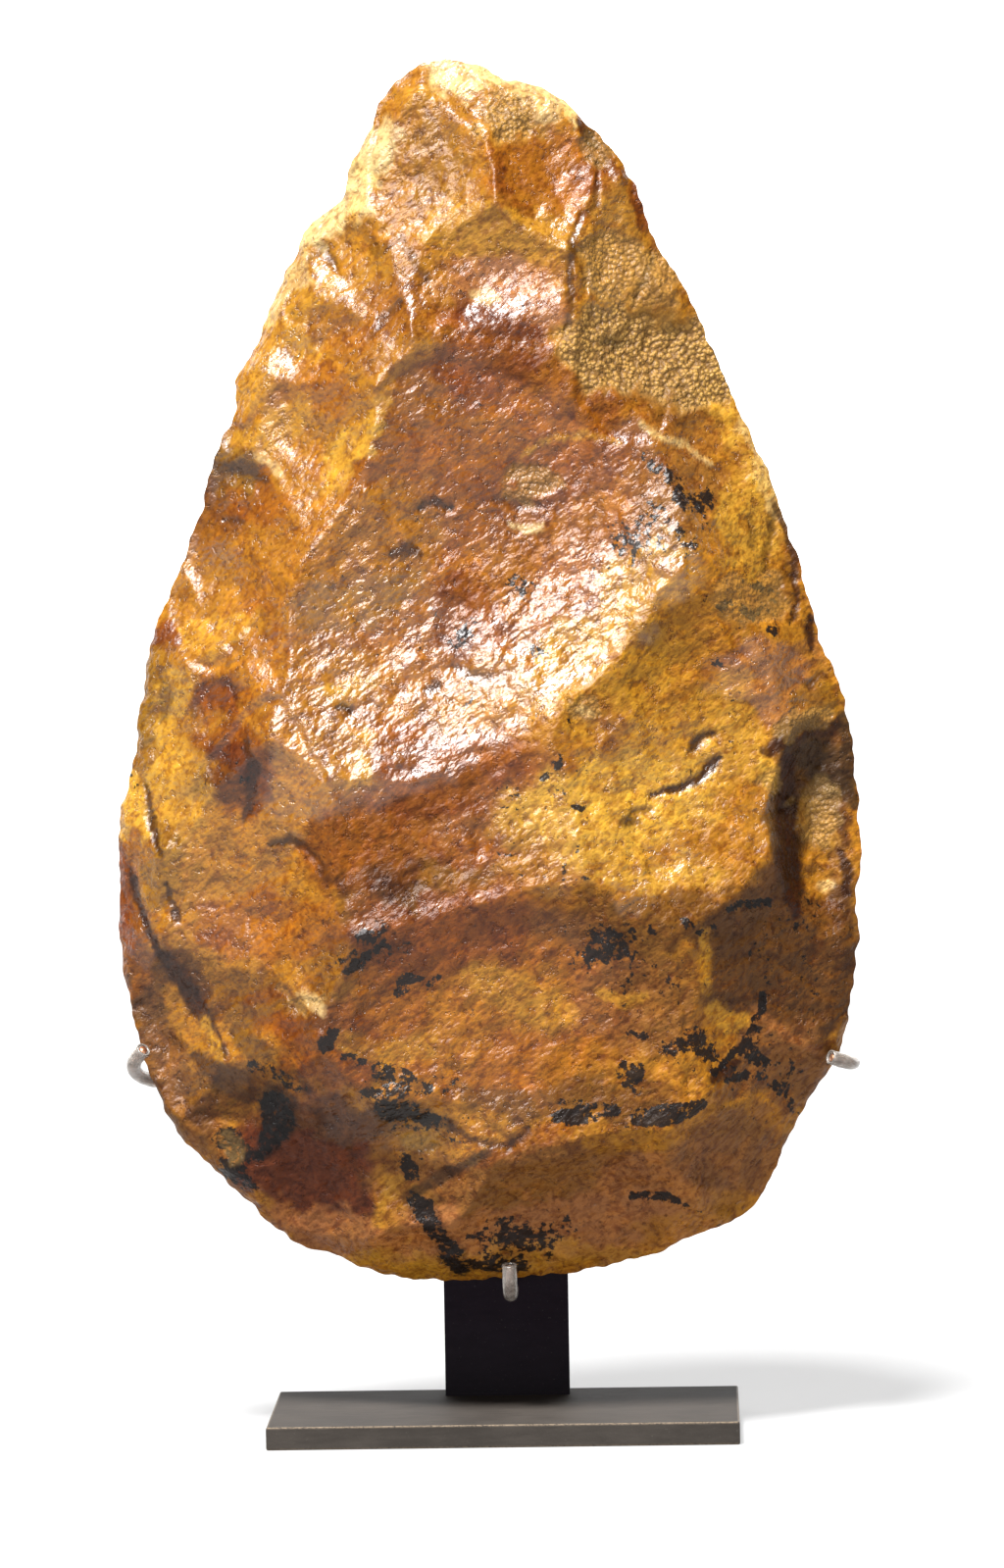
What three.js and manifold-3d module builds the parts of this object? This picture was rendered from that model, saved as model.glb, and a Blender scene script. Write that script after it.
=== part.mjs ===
// A large flaked flint hand axe, held upright by three claws on a flat steel stand.
// Millimetres, +Z up, front face towards -Y, origin at the centre of the base bar's underside.
import * as THREE from 'three';
import { mergeVertices } from 'three/addons/utils/BufferGeometryUtils.js';
import Module from 'manifold-3d';

const wasm = await Module();
wasm.setup();

// Driving dimensions
const GAP = 0.3;                 // air left between pieces that touch
const BASE_WIDTH = 96;           // base bar, along X
const BASE_DEPTH = 50.8;         // base bar, along Y (2 in stock)
const BASE_THICK = 4.76;         // base bar, 3/16 in stock
const BASE_CHAMFER = 0.5;
const PLATE_WIDTH = 25.8;        // upright, 1 in stock
const PLATE_THICK = 4.8;
const PLATE_FRONT = 15.6;        // Y of the upright's front face
const PLATE_TOP = 96;
const PLATE_CHAMFER = 0.4;
const MORTISE_DEPTH = 3;         // slot in the base that the upright's foot stands in
const ROD_RADIUS = 0.8;          // 1/16 in brass rod
const SOCKET_DEPTH = 6;          // hole in the upright that a rod's root sits in
const SLEEVE_BORE = 1.15;
const SLEEVE_RADIUS = 1.5;
const SLEEVE_LIP = 0.6;          // how far a sleeve runs past the rod's end
const SLEEVE_LENGTH = 17;        // tube on the last stretch of each rod
const SOCKET_SIDES = 16;

const EDGE_Y = -5.5;             // Y of the plane that the stone's edge lies in
const SWAY = 1.1;                // how far the edge snakes out of that plane
const SWAY_REACH = 12;           // how far in from the edge the snaking is felt
const SWAY_LENGTH = { x: 37, z: 11 };    // how slowly the snaking runs along X and along Z
const EDGE_SLOPE = 2.2;          // steepest rise from the edge
const SWELL_SIDES = 2.2;         // how square the swelling's cross section is
const SWELL_CROWN = 0.72;        // how round its shoulders are
const SWELL_LIMIT = 0.995;       // share of the half width where the swelling has all but ended
const BACK_THICKNESS = 0.82;     // height of the back face as a share of the front's
const RINGS = 22;                // rings of facets from the stone's middle to its edge
const RIDGE_REACH = 1.25;        // how far a corner may slide to sit on a ridge
const RETOUCH_SCARS = 58;        // small flakes struck off along each side of the edge
const RETOUCH_RISE = [0.85, 1.3];        // slope of a small flake's floor, inwards
const RETOUCH_ROUND = [14, 26];  // radius of its hollow along the edge
const RETOUCH_LIFT = 0.2;        // height at which its floor starts
const BACK_DISH = 2.2;           // hollow of a flake scar on the back face
const BACK_SINK = [0, 2];        // how deep its middle lies
const STONE_MIDDLE = { x: -1, z: 140 };

const ROD_SIDES = 8;
const ROD_STEPS = 34;
const SLEEVE_SIDES = 10;
const SLEEVE_STEPS = 14;

const PLATE_MIDDLE = PLATE_FRONT + PLATE_THICK / 2;
const ROOT_X = PLATE_WIDTH / 2 - SOCKET_DEPTH + GAP;    // how far out a side rod's root starts
const BOTTOM_X = 1.6;                                   // the bottom hook stands a little off centre
const HOOK_Z = { left: 70, right: 70, bottom: 28.9 };   // where each rod leaves the upright

// Routes of the three bent rods, root first, tip last.
const ROUTES = {
  left: [
    [-ROOT_X, PLATE_MIDDLE, HOOK_Z.left], [-20, PLATE_MIDDLE, HOOK_Z.left], [-42, 17.2, 70.3],
    [-60, 11.5, 71], [-70.6, 3.2, 72.6], [-74.5, -3.6, 75.2], [-74.4, -8.3, 78], [-72.3, -10.8, 80.6],
  ],
  right: [
    [ROOT_X, PLATE_MIDDLE, HOOK_Z.right], [20, PLATE_MIDDLE, HOOK_Z.right], [42, 17.2, 71],
    [60, 11.5, 73], [69.6, 4, 74.8], [72.3, -3.2, 75.2], [71.2, -8.2, 75.7], [67.9, -10.6, 76.9],
  ],
  bottom: [
    [BOTTOM_X, PLATE_MIDDLE, HOOK_Z.bottom], [BOTTOM_X, 8, HOOK_Z.bottom],
    [BOTTOM_X, -2, HOOK_Z.bottom], [BOTTOM_X, -8.6, 29.2], [BOTTOM_X, -11.8, 31.8], [BOTTOM_X, -12.6, 35.2],
  ],
};

// The stone's outline seen from the front, as [x, z], from the tip down the left edge,
// round the butt and up the right edge. A smooth closed curve runs through the points.
const OUTLINE = [
  [-8, 281.2], [-15, 279], [-20.5, 273.5], [-23.6, 266.5], [-27.5, 259.5], [-29.5, 253],
  [-35.5, 248.3], [-40, 240.5], [-44.5, 231], [-48.5, 221.5], [-52, 217], [-51.6, 210],
  [-56, 202], [-58.5, 192.5], [-62.5, 182], [-66.5, 172], [-70, 163.5], [-72.3, 150],
  [-74, 138], [-77.2, 127], [-77.5, 112], [-77.4, 100], [-75.5, 88.5], [-72.3, 76],
  [-67, 64], [-59.5, 55.5], [-51, 47], [-43, 39.8], [-33, 36], [-22, 32.2], [-8, 31.3],
  [8, 32.2], [20, 33.7], [32, 36.8], [42, 41.2], [49.5, 43.8], [55.5, 51.5], [60, 61.5],
  [66.5, 72], [70.8, 79], [72.5, 90], [74.1, 100.5], [73.8, 110], [75, 119], [73.5, 139],
  [71.5, 151], [67.3, 161.5], [64, 174.5], [60.5, 185.5], [56.5, 197.5], [51, 210],
  [45.6, 222.5], [41, 233.5], [34.5, 244], [32.3, 251.5], [28, 259.5], [20.5, 268.5],
  [14.5, 274], [4, 277.5], [-3, 280.6],
];

// The swelling of the front face before the flakes came off:
// [height, middle, half width, thickness].
const SWELL = [
  [31, -3, 20, 0], [36, -3, 34, 6], [45, -2, 50, 12], [60, -3, 63, 17.5], [80, -1, 73, 22],
  [105, -1.5, 76.5, 24.8], [130, -1, 76, 25.3], [160, -1.5, 69.5, 23.6], [190, -1, 59.5, 20.4],
  [220, -2, 49, 16.8], [245, -2, 37.5, 13.2], [262, -1, 28, 9.8], [274, -3, 18, 6], [282, -7, 6, 0],
];

// The flake scars of the front face, one shallow bowl each. The scar's long side is turned
// by 'turn' degrees from +X; 'dish' is how hollow it is and 'sink' how deep its middle lies.
// faceX and faceZ tip it towards +X and towards the tip.
const scar = (name, x, z, long, wide, turn, dish, sink, faceX = 0, faceZ = 0) =>
  ({ name, x, z, long, wide, turn, dish, sink, faceX, faceZ });

const FRONT_SCARS = [
  scar('great flake', 2, 172, 124, 60, 33, 5.5, 1, -0.02, 0.06),
  scar('lower right', 37, 144, 74, 50, 35, 3, 1, 0.03, -0.04),
  scar('under the great ridge', -6, 130, 52, 26, 20, 1.2, 0.9, 0.03, -0.04),
  scar('belly', 8, 92, 86, 48, 0, 2.5, 0.8, 0, -0.05),
  scar('right flank', 57, 99, 44, 32, 70, 2.5, 1, 0.1, -0.05),
  scar('wide butt', 14, 46, 62, 26, 4, 2, 1, 0.05, -0.05),
  scar('brown bowl', -38, 56, 28, 32, 0, 2.8, 2),
  scar('left belly', -50, 110, 44, 36, 90, 2.5, 0.8),
  scar('left low', -64, 86, 32, 22, 110, 2.5, 1.8, -0.05, -0.1),
  scar('left low dark', -52, 68, 26, 20, -30, 2, 1.5, -0.05, -0.1),
  scar('ledge', -55, 89, 34, 18, -62, 2.2, 1.2),
  scar('right toe', 52, 58, 24, 24, 50, 2, 0.5, 0.05),
  scar('right low', 58, 74, 26, 16, -15, 1.5, 0.8),
  scar('notch', 66, 125, 15, 44, 0, 4, 4),
  scar('left shoulder', -58, 174, 36, 26, 60, 2.5, 0.8, 0, 0.05),
  scar('dark bowl', -50, 192, 22, 18, -20, 2, 2.2),
  scar('yellow bowl', -38, 205, 26, 22, 50, 2.2, 1),
  scar('glossy left', -36, 222, 28, 18, 0, 1.8, 0.6, 0, 0.05),
  scar('upper plain', 2, 205, 60, 36, 33, 2, 0.5, 0.05),
  scar('right upper', 45, 204, 44, 22, 110, 2, 0.5),
  scar('crust', 33, 220, 34, 20, -20, 2, 2.6),
  scar('facet', 4, 234, 28, 14, -10, 1.2, 1.2, -0.05, 0.12),
  scar('upright sliver', 27, 240, 14, 24, 0, 1.5, 0.8),
  scar('tip bowl', 13, 258, 20, 20, 0, 2, 1.6),
  scar('rippled', -12, 255, 28, 28, 0, 2, 0.8, -0.05),
  scar('tip', -4, 274, 32, 12, -10, 1.5, 0),
  scar('upper left', -27, 240, 20, 22, 60, 1.8, 0.5),
  scar('right shoulder', 58, 172, 40, 16, -75, 1.6, 0.5),
  scar('left strip', -69, 140, 60, 16, 90, 1.6, 0.6),
  scar('left patch', -57, 150, 12, 17, 0, 1, 0.7),
  scar('right strip', 66, 152, 24, 12, -75, 1.2, 0.6),
  scar('butt left', -18, 58, 22, 20, 60, 1.8, 1.2),
  scar('step', 49, 82, 12, 16, 40, 1, 0.8),
  scar('mottled left', -50, 172, 14, 20, 20, 1, 0.4),
];

// Small repeatable number between 0 and 1 for the flake numbered i.
function chance(i, kind) {
  const wave = Math.sin(i * 12.9898 + kind * 78.233) * 43758.5453;
  return wave - Math.floor(wave);
}

function between(low, high, share) {
  return low + (high - low) * share;
}

// Outline sampled evenly by length, as points [x, z].
function outlinePoints(count) {
  const corners = OUTLINE.map(([x, z]) => new THREE.Vector3(x, 0, z));
  const curve = new THREE.CatmullRomCurve3(corners, true, 'catmullrom', 0.5);
  curve.arcLengthDivisions = OUTLINE.length * 12;
  return curve.getSpacedPoints(count).slice(0, count).map((p) => [p.x, p.z]);
}

// Distance from (x, z) to the outline.
function edgeDistance(outline, x, z) {
  let nearest = Infinity;
  outline.forEach(([ax, az], i) => {
    const [bx, bz] = outline[(i + 1) % outline.length];
    const [dx, dz] = [bx - ax, bz - az];
    const along = THREE.MathUtils.clamp(((x - ax) * dx + (z - az) * dz) / (dx * dx + dz * dz), 0, 1);
    nearest = Math.min(nearest, Math.hypot(x - ax - along * dx, z - az - along * dz));
  });
  return nearest;
}

// Height of the unflaked swelling at (x, z).
function swell(x, z) {
  const last = SWELL.length - 2;
  let row = SWELL.findIndex(([height]) => height > z) - 1;
  row = row < -1 ? last : Math.max(row, 0);
  const share = THREE.MathUtils.clamp((z - SWELL[row][0]) / (SWELL[row + 1][0] - SWELL[row][0]), 0, 1);
  const [middle, half, thick] = [1, 2, 3].map((k) => between(SWELL[row][k], SWELL[row + 1][k], share));
  const out = Math.min(Math.abs((x - middle) / half), SWELL_LIMIT);
  return thick * (1 - out ** SWELL_SIDES) ** SWELL_CROWN;
}

// A gentle wander of the scars' borders, so that no ridge is drawn with a compass.
function wander(x, z) {
  const wx = 0.9 * Math.sin(0.19 * x + 0.11 * z + 1.7) + 0.6 * Math.sin(-0.13 * x + 0.31 * z + 0.4);
  const wz = 0.9 * Math.sin(0.12 * x - 0.21 * z + 0.9) + 0.6 * Math.sin(0.29 * x + 0.16 * z + 2.1);
  return [x + wx, z + wz];
}

// Turns a scar into a function of (x, z) that gives the height of its bowl.
function bowl({ x, z, long, wide, turn, dish, sink, faceX, faceZ }) {
  const reach = 9;   // how far to each side the swelling's slope is taken
  const slopeX = (swell(x + reach, z) - swell(x - reach, z)) / (2 * reach) - faceX;
  const slopeZ = (swell(x, z + reach) - swell(x, z - reach)) / (2 * reach) - faceZ;
  const [cos, sin] = [Math.cos(turn * THREE.MathUtils.DEG2RAD), Math.sin(turn * THREE.MathUtils.DEG2RAD)];
  const middle = swell(x, z) - sink;
  return (px, pz) => {
    const [wx, wz] = wander(px, pz);
    const [dx, dz] = [wx - x, wz - z];
    const u = (dx * cos + dz * sin) / (long / 2);
    const v = (dz * cos - dx * sin) / (wide / 2);
    return middle + slopeX * dx + slopeZ * dz + dish * (u * u + v * v - 1);
  };
}

// The small flakes along the edge, each a scoop that rises inwards from it.
function retouch(outline, kind) {
  return Array.from({ length: RETOUCH_SCARS }, (_, i) => {
    const at = Math.floor(((i + 0.5 * chance(i, kind)) / RETOUCH_SCARS) * outline.length);
    const before = outline[(at + outline.length - 3) % outline.length];
    const after = outline[(at + 3) % outline.length];
    const run = Math.hypot(after[0] - before[0], after[1] - before[1]);
    const [tx, tz] = [(after[0] - before[0]) / run, (after[1] - before[1]) / run];
    const rise = between(...RETOUCH_RISE, chance(i, kind + 1));
    const round = between(...RETOUCH_ROUND, chance(i, kind + 2));
    const [x, z] = outline[at];
    return (px, pz) => {
      const along = (px - x) * tx + (pz - z) * tz;
      const inward = (pz - z) * tx - (px - x) * tz;
      return rise * Math.max(inward, 0) + (along * along) / (2 * round) + RETOUCH_LIFT;
    };
  });
}

// The back face's scars: rings of long flakes struck in from the edge towards the middle.
function backScars(outline) {
  const rings = [
    { flakes: 15, reach: 0.74, long: 44, wide: 30 },
    { flakes: 7, reach: 0.36, long: 56, wide: 38 },
    { flakes: 1, reach: 0.05, long: 60, wide: 44 },
  ];
  return rings.flatMap(({ flakes, reach, long, wide }, ring) => Array.from({ length: flakes }, (_, i) => {
    const at = Math.floor(((i + 0.6 * chance(i, ring + 20)) / flakes) * outline.length);
    const [ex, ez] = outline[at % outline.length];
    const x = between(STONE_MIDDLE.x, ex, reach);
    const z = between(STONE_MIDDLE.z, ez, reach);
    const turn = Math.atan2(ez - z, ex - x) * THREE.MathUtils.RAD2DEG;
    const size = between(0.8, 1.2, chance(i, ring + 30));
    const sink = between(...BACK_SINK, chance(i, ring + 40));
    return scar('back flake', x, z, long * size, wide * size, turn, BACK_DISH, sink);
  }));
}

// One face of the stone: height above the edge plane at (x, z), and the two lowest scars there.
function face(scars, outline, fine, scale, kind) {
  const bowls = scars.map(bowl).map((height) => (x, z) => scale * height(x, z));
  const all = [...bowls, ...retouch(fine, kind)];
  const lowestTwo = (x, z) => {
    const heights = all.map((height, i) => [height(x, z), i]).sort((a, b) => a[0] - b[0]);
    return [heights[0], heights[1]];
  };
  const height = (x, z) => Math.min(lowestTwo(x, z)[0][0], EDGE_SLOPE * edgeDistance(outline, x, z));
  // Slides a point onto the ridge between its two lowest scars, if that ridge is near.
  const toRidge = (x, z) => {
    const [[low, a], [next, b]] = lowestTwo(x, z);
    const step = 0.2;
    const fall = (px, pz) => all[b](px, pz) - all[a](px, pz);
    const gx = (fall(x + step, z) - fall(x - step, z)) / (2 * step);
    const gz = (fall(x, z + step) - fall(x, z - step)) / (2 * step);
    const steep = Math.hypot(gx, gz);
    const away = (next - low) / steep;
    return away < RIDGE_REACH ? [x - (away * gx) / steep, z - (away * gz) / steep] : [x, z];
  };
  return { height, toRidge };
}

// Both faces of the stone, as rings of triangles that meet at the edge.
function stoneGeometry() {
  const rim = outlinePoints(6 * RINGS);
  const fine = outlinePoints(12 * RINGS);
  const sides = [
    { out: -1, ...face(FRONT_SCARS, rim, fine, 1, 0) },
    { out: 1, ...face(backScars(fine), rim, fine, BACK_THICKNESS, 10) },
  ];
  const positions = [];
  const index = [];
  const sway = (x, z) => SWAY * Math.sin(z / SWAY_LENGTH.z + x / SWAY_LENGTH.x);
  const addVertex = (x, y, z) => positions.push(x, y, z) / 3 - 1;
  const rimRing = rim.map(([x, z]) => addVertex(x, EDGE_Y + sway(x, z), z));
  for (const { out, height, toRidge } of sides) {
    const place = (x, z) => {
      const away = edgeDistance(rim, x, z);
      const y = EDGE_Y + sway(x, z) * Math.exp(-away / SWAY_REACH) + out * height(x, z);
      return addVertex(x, y, z);
    };
    let inner = [place(STONE_MIDDLE.x, STONE_MIDDLE.z)];
    for (let ring = 1; ring <= RINGS; ring += 1) {
      const share = ring / RINGS;
      const outer = ring === RINGS ? rimRing : Array.from({ length: 6 * ring }, (_, i) => {
        const [ex, ez] = rim[Math.round((i / (6 * ring)) * rim.length) % rim.length];
        const [x, z] = [between(STONE_MIDDLE.x, ex, share), between(STONE_MIDDLE.z, ez, share)];
        return place(...(ring < RINGS - 1 ? toRidge(x, z) : [x, z]));
      });
      index.push(...ringTriangles(inner, outer, ring, out));
      inner = outer;
    }
  }
  return indexedGeometry(positions, index);
}

// Triangles between two neighbouring rings of a six-sided lattice.
function ringTriangles(inner, outer, ring, out) {
  const triangles = [];
  const add = (a, b, c) => triangles.push(...(out > 0 ? [a, c, b] : [a, b, c]));
  for (let sector = 0; sector < 6; sector += 1) {
    for (let i = 0; i < ring; i += 1) {
      const o = sector * ring + i;
      const n = sector * (ring - 1) + i;
      const from = inner[n % inner.length];
      add(from, outer[o], outer[(o + 1) % outer.length]);
      if (i < ring - 1) add(from, outer[(o + 1) % outer.length], inner[(n + 1) % inner.length]);
    }
  }
  return triangles;
}

function indexedGeometry(positions, index) {
  const geometry = new THREE.BufferGeometry();
  geometry.setAttribute('position', new THREE.Float32BufferAttribute(positions, 3));
  geometry.setIndex(index);
  return geometry;
}

// Closed geometry to a solid that can be cut, and back.
function toSolid(geometry) {
  const bare = geometry.clone();
  bare.deleteAttribute('normal');
  bare.deleteAttribute('uv');
  const merged = mergeVertices(bare, 1e-4);
  const vertProperties = new Float32Array(merged.attributes.position.array);
  const triVerts = new Uint32Array(merged.index.array);
  return new wasm.Manifold(new wasm.Mesh({ numProp: 3, vertProperties, triVerts }));
}

function toGeometry(solid) {
  const mesh = solid.getMesh();
  return indexedGeometry([...mesh.vertProperties], [...mesh.triVerts]);
}

// Flat bar standing on z = 0 with its edges lightly broken.
function barGeometry(width, depth, height, chamfer) {
  const shape = new THREE.Shape();
  const [x, y] = [width / 2 - chamfer, depth / 2 - chamfer];
  shape.moveTo(-x, -y).lineTo(x, -y).lineTo(x, y).lineTo(-x, y).closePath();
  const bar = new THREE.ExtrudeGeometry(shape, {
    depth: height - 2 * chamfer,
    bevelEnabled: true,
    bevelSize: chamfer,
    bevelThickness: chamfer,
    bevelSegments: 1,
  });
  return bar.translate(0, 0, chamfer);
}

function baseGeometry() {
  const bar = toSolid(barGeometry(BASE_WIDTH, BASE_DEPTH, BASE_THICK, BASE_CHAMFER));
  const slotTop = BASE_THICK + 1;
  const slot = new THREE.BoxGeometry(PLATE_WIDTH + 2 * GAP, PLATE_THICK + 2 * GAP, MORTISE_DEPTH + 1);
  slot.translate(0, PLATE_MIDDLE, slotTop - (MORTISE_DEPTH + 1) / 2);
  return toGeometry(bar.subtract(toSolid(slot)));
}

// The rods' sockets: one in each side edge of the upright and one in its front face.
function socket(x, y, z, alongY) {
  const hole = new THREE.CylinderGeometry(ROD_RADIUS + GAP, ROD_RADIUS + GAP, 2 * SOCKET_DEPTH, SOCKET_SIDES);
  if (!alongY) hole.rotateZ(Math.PI / 2);
  return toSolid(hole.translate(x, y, z));
}

function plateGeometry() {
  const foot = BASE_THICK - MORTISE_DEPTH + GAP;
  const plate = barGeometry(PLATE_WIDTH, PLATE_THICK, PLATE_TOP - foot, PLATE_CHAMFER);
  const side = PLATE_WIDTH / 2;
  const frontDepth = SOCKET_DEPTH - PLATE_THICK / 2;
  return toGeometry(toSolid(plate.translate(0, PLATE_MIDDLE, foot))
    .subtract(socket(-side, PLATE_MIDDLE, HOOK_Z.left, false))
    .subtract(socket(side, PLATE_MIDDLE, HOOK_Z.right, false))
    .subtract(socket(BOTTOM_X, PLATE_FRONT - frontDepth, HOOK_Z.bottom, true)));
}

function route(side) {
  const bends = ROUTES[side].map((point) => new THREE.Vector3(...point));
  return new THREE.CatmullRomCurve3(bends, false, 'centripetal');
}

function disc(radius, corners) {
  return Array.from({ length: corners }, (_, i) => {
    const turn = ((i + 0.5) / corners) * 2 * Math.PI;
    return new THREE.Vector2(radius * Math.cos(turn), radius * Math.sin(turn));
  });
}

function rodGeometry(side) {
  const section = new THREE.Shape(disc(ROD_RADIUS, ROD_SIDES));
  const along = { steps: ROD_STEPS, bevelEnabled: false, extrudePath: route(side) };
  return new THREE.ExtrudeGeometry(section, along);
}

// A sleeve follows the last stretch of its rod and ends a little past the rod's tip.
function sleeveGeometry(side) {
  const rod = route(side);
  const from = 1 - SLEEVE_LENGTH / rod.getLength();
  const points = Array.from({ length: 9 }, (_, i) => rod.getPointAt(between(from, 1, i / 8)));
  const tip = rod.getTangentAt(1).multiplyScalar(SLEEVE_LIP);
  points.push(points[8].clone().add(tip));
  const section = new THREE.Shape(disc(SLEEVE_RADIUS, SLEEVE_SIDES));
  section.holes.push(new THREE.Path(disc(SLEEVE_BORE, SLEEVE_SIDES).reverse()));
  const path = new THREE.CatmullRomCurve3(points, false, 'centripetal');
  return new THREE.ExtrudeGeometry(section, { steps: SLEEVE_STEPS, bevelEnabled: false, extrudePath: path });
}

// Materials
function finish(color, roughness, metalness) {
  return new THREE.MeshStandardMaterial({ color, roughness, metalness });
}

const flint = finish(0xa8692c, 0.38, 0);
flint.flatShading = true;
const darkSteel = finish(0x3b3734, 0.42, 0.7);
const blackPlate = finish(0x1c191d, 0.5, 0.4);
const brass = finish(0xb0714a, 0.35, 1);
const clearTube = finish(0x9a9690, 0.25, 0);

function piece(name, geometry, material) {
  const mesh = new THREE.Mesh(geometry, material);
  mesh.name = name;
  return mesh;
}

const stand = new THREE.Group();
stand.add(piece('base_bar', baseGeometry(), darkSteel));
stand.add(piece('upright_plate', plateGeometry(), blackPlate));
for (const side of Object.keys(ROUTES)) {
  const rodName = side === 'bottom' ? 'bottom_hook' : `${side}_arm`;
  stand.add(piece(rodName, rodGeometry(side), brass));
  stand.add(piece(`${side}_sleeve`, sleeveGeometry(side), clearTube));
}

const handAxe = new THREE.Group();
handAxe.add(piece('hand_axe', stoneGeometry(), flint));
handAxe.add(stand);

export default handAxe;
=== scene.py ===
import math

import bpy
import numpy as np
from mathutils import Matrix, Vector, kdtree


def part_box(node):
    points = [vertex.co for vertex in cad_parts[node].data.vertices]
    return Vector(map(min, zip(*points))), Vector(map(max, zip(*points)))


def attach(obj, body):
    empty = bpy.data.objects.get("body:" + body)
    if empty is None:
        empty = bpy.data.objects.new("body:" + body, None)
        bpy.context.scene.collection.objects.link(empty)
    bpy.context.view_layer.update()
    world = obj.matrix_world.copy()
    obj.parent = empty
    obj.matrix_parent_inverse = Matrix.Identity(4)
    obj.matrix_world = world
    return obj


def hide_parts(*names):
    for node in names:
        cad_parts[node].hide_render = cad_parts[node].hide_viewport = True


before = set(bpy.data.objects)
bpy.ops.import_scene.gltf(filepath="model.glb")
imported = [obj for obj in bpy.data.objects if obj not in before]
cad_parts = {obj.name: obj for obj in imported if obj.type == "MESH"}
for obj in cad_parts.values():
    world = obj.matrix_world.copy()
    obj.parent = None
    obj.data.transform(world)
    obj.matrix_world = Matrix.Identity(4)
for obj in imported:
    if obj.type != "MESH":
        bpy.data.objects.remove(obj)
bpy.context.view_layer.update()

bl_info = {
    "name": "Flaked hand axe on its stand",
    "version": (1, 0, 0),
    "blender": (4, 5, 0),
    "location": "3D View > Sidebar > Hand Axe",
    "description": "Dresses the packed hand axe, its steel stand and its padded claws",
    "category": "Object",
}

BODY = "root"
MM = 0.001                      # one millimetre, in metres

# ---------------------------------------------------------------- the stone's shape, in mm

EDGE_Y = -5.5                   # Y of the plane that the stone's edge lies in
SWAY = 1.1                      # how far the edge sways out of that plane
SWAY_REACH = 12                 # how far in from the edge the sway dies away
SWAY_LENGTHS = 11, 37           # how slowly it sways with height and with width
EDGE_SLOPE = 2.2                # the steepest rise from the edge
SWELL_SIDES = 2.2               # how full the sides of the swelling are
SWELL_CROWN = 0.72              # how flat its top is
SWELL_LIMIT = 0.995             # the farthest out that its height is worked out
BOWL_REACH = 9                  # the reach over which a scar takes the swelling's slope
RETOUCH_SCARS = 58              # small flakes along the edge of each face
RETOUCH_SPAN = 0.0114           # share of the outline that gives a small flake its direction
RETOUCH_LIFT = 0.2              # how high they start above the edge
BACK_THICKNESS = 0.82           # how thick the back face is beside the front
BACK_DISH = 2.2                 # how hollow the back's scars are
BACK_SINK = 2                   # the deepest that they lie under the swelling
STONE_MIDDLE = (-1, 140)
SHARP_ANGLE = 48                # degrees at which a crease is drawn sharp

OUTLINE = [
    (-8, 281.2), (-15, 279), (-20.5, 273.5), (-23.6, 266.5), (-27.5, 259.5), (-29.5, 253),
    (-35.5, 248.3), (-40, 240.5), (-44.5, 231), (-48.5, 221.5), (-52, 217), (-51.6, 210),
    (-56, 202), (-58.5, 192.5), (-62.5, 182), (-66.5, 172), (-70, 163.5), (-72.3, 150),
    (-74, 138), (-77.2, 127), (-77.5, 112), (-77.4, 100), (-75.5, 88.5), (-72.3, 76),
    (-67, 64), (-59.5, 55.5), (-51, 47), (-43, 39.8), (-33, 36), (-22, 32.2), (-8, 31.3),
    (8, 32.2), (20, 33.7), (32, 36.8), (42, 41.2), (49.5, 43.8), (55.5, 51.5), (60, 61.5),
    (66.5, 72), (70.8, 79), (72.5, 90), (74.1, 100.5), (73.8, 110), (75, 119), (73.5, 139),
    (71.5, 151), (67.3, 161.5), (64, 174.5), (60.5, 185.5), (56.5, 197.5), (51, 210),
    (45.6, 222.5), (41, 233.5), (34.5, 244), (32.3, 251.5), (28, 259.5), (20.5, 268.5),
    (14.5, 274), (4, 277.5), (-3, 280.6),
]

# The swelling of the front face before the flakes came off:
# height, middle, half width, thickness.
SWELL = np.array([
    (31, -3, 20, 0), (36, -3, 34, 6), (45, -2, 50, 12), (60, -3, 63, 17.5), (80, -1, 73, 22),
    (105, -1.5, 76.5, 24.8), (130, -1, 76, 25.3), (160, -1.5, 69.5, 23.6),
    (190, -1, 59.5, 20.4), (220, -2, 49, 16.8), (245, -2, 37.5, 13.2), (262, -1, 28, 9.8),
    (274, -3, 18, 6), (282, -7, 6, 0),
], float)

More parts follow.
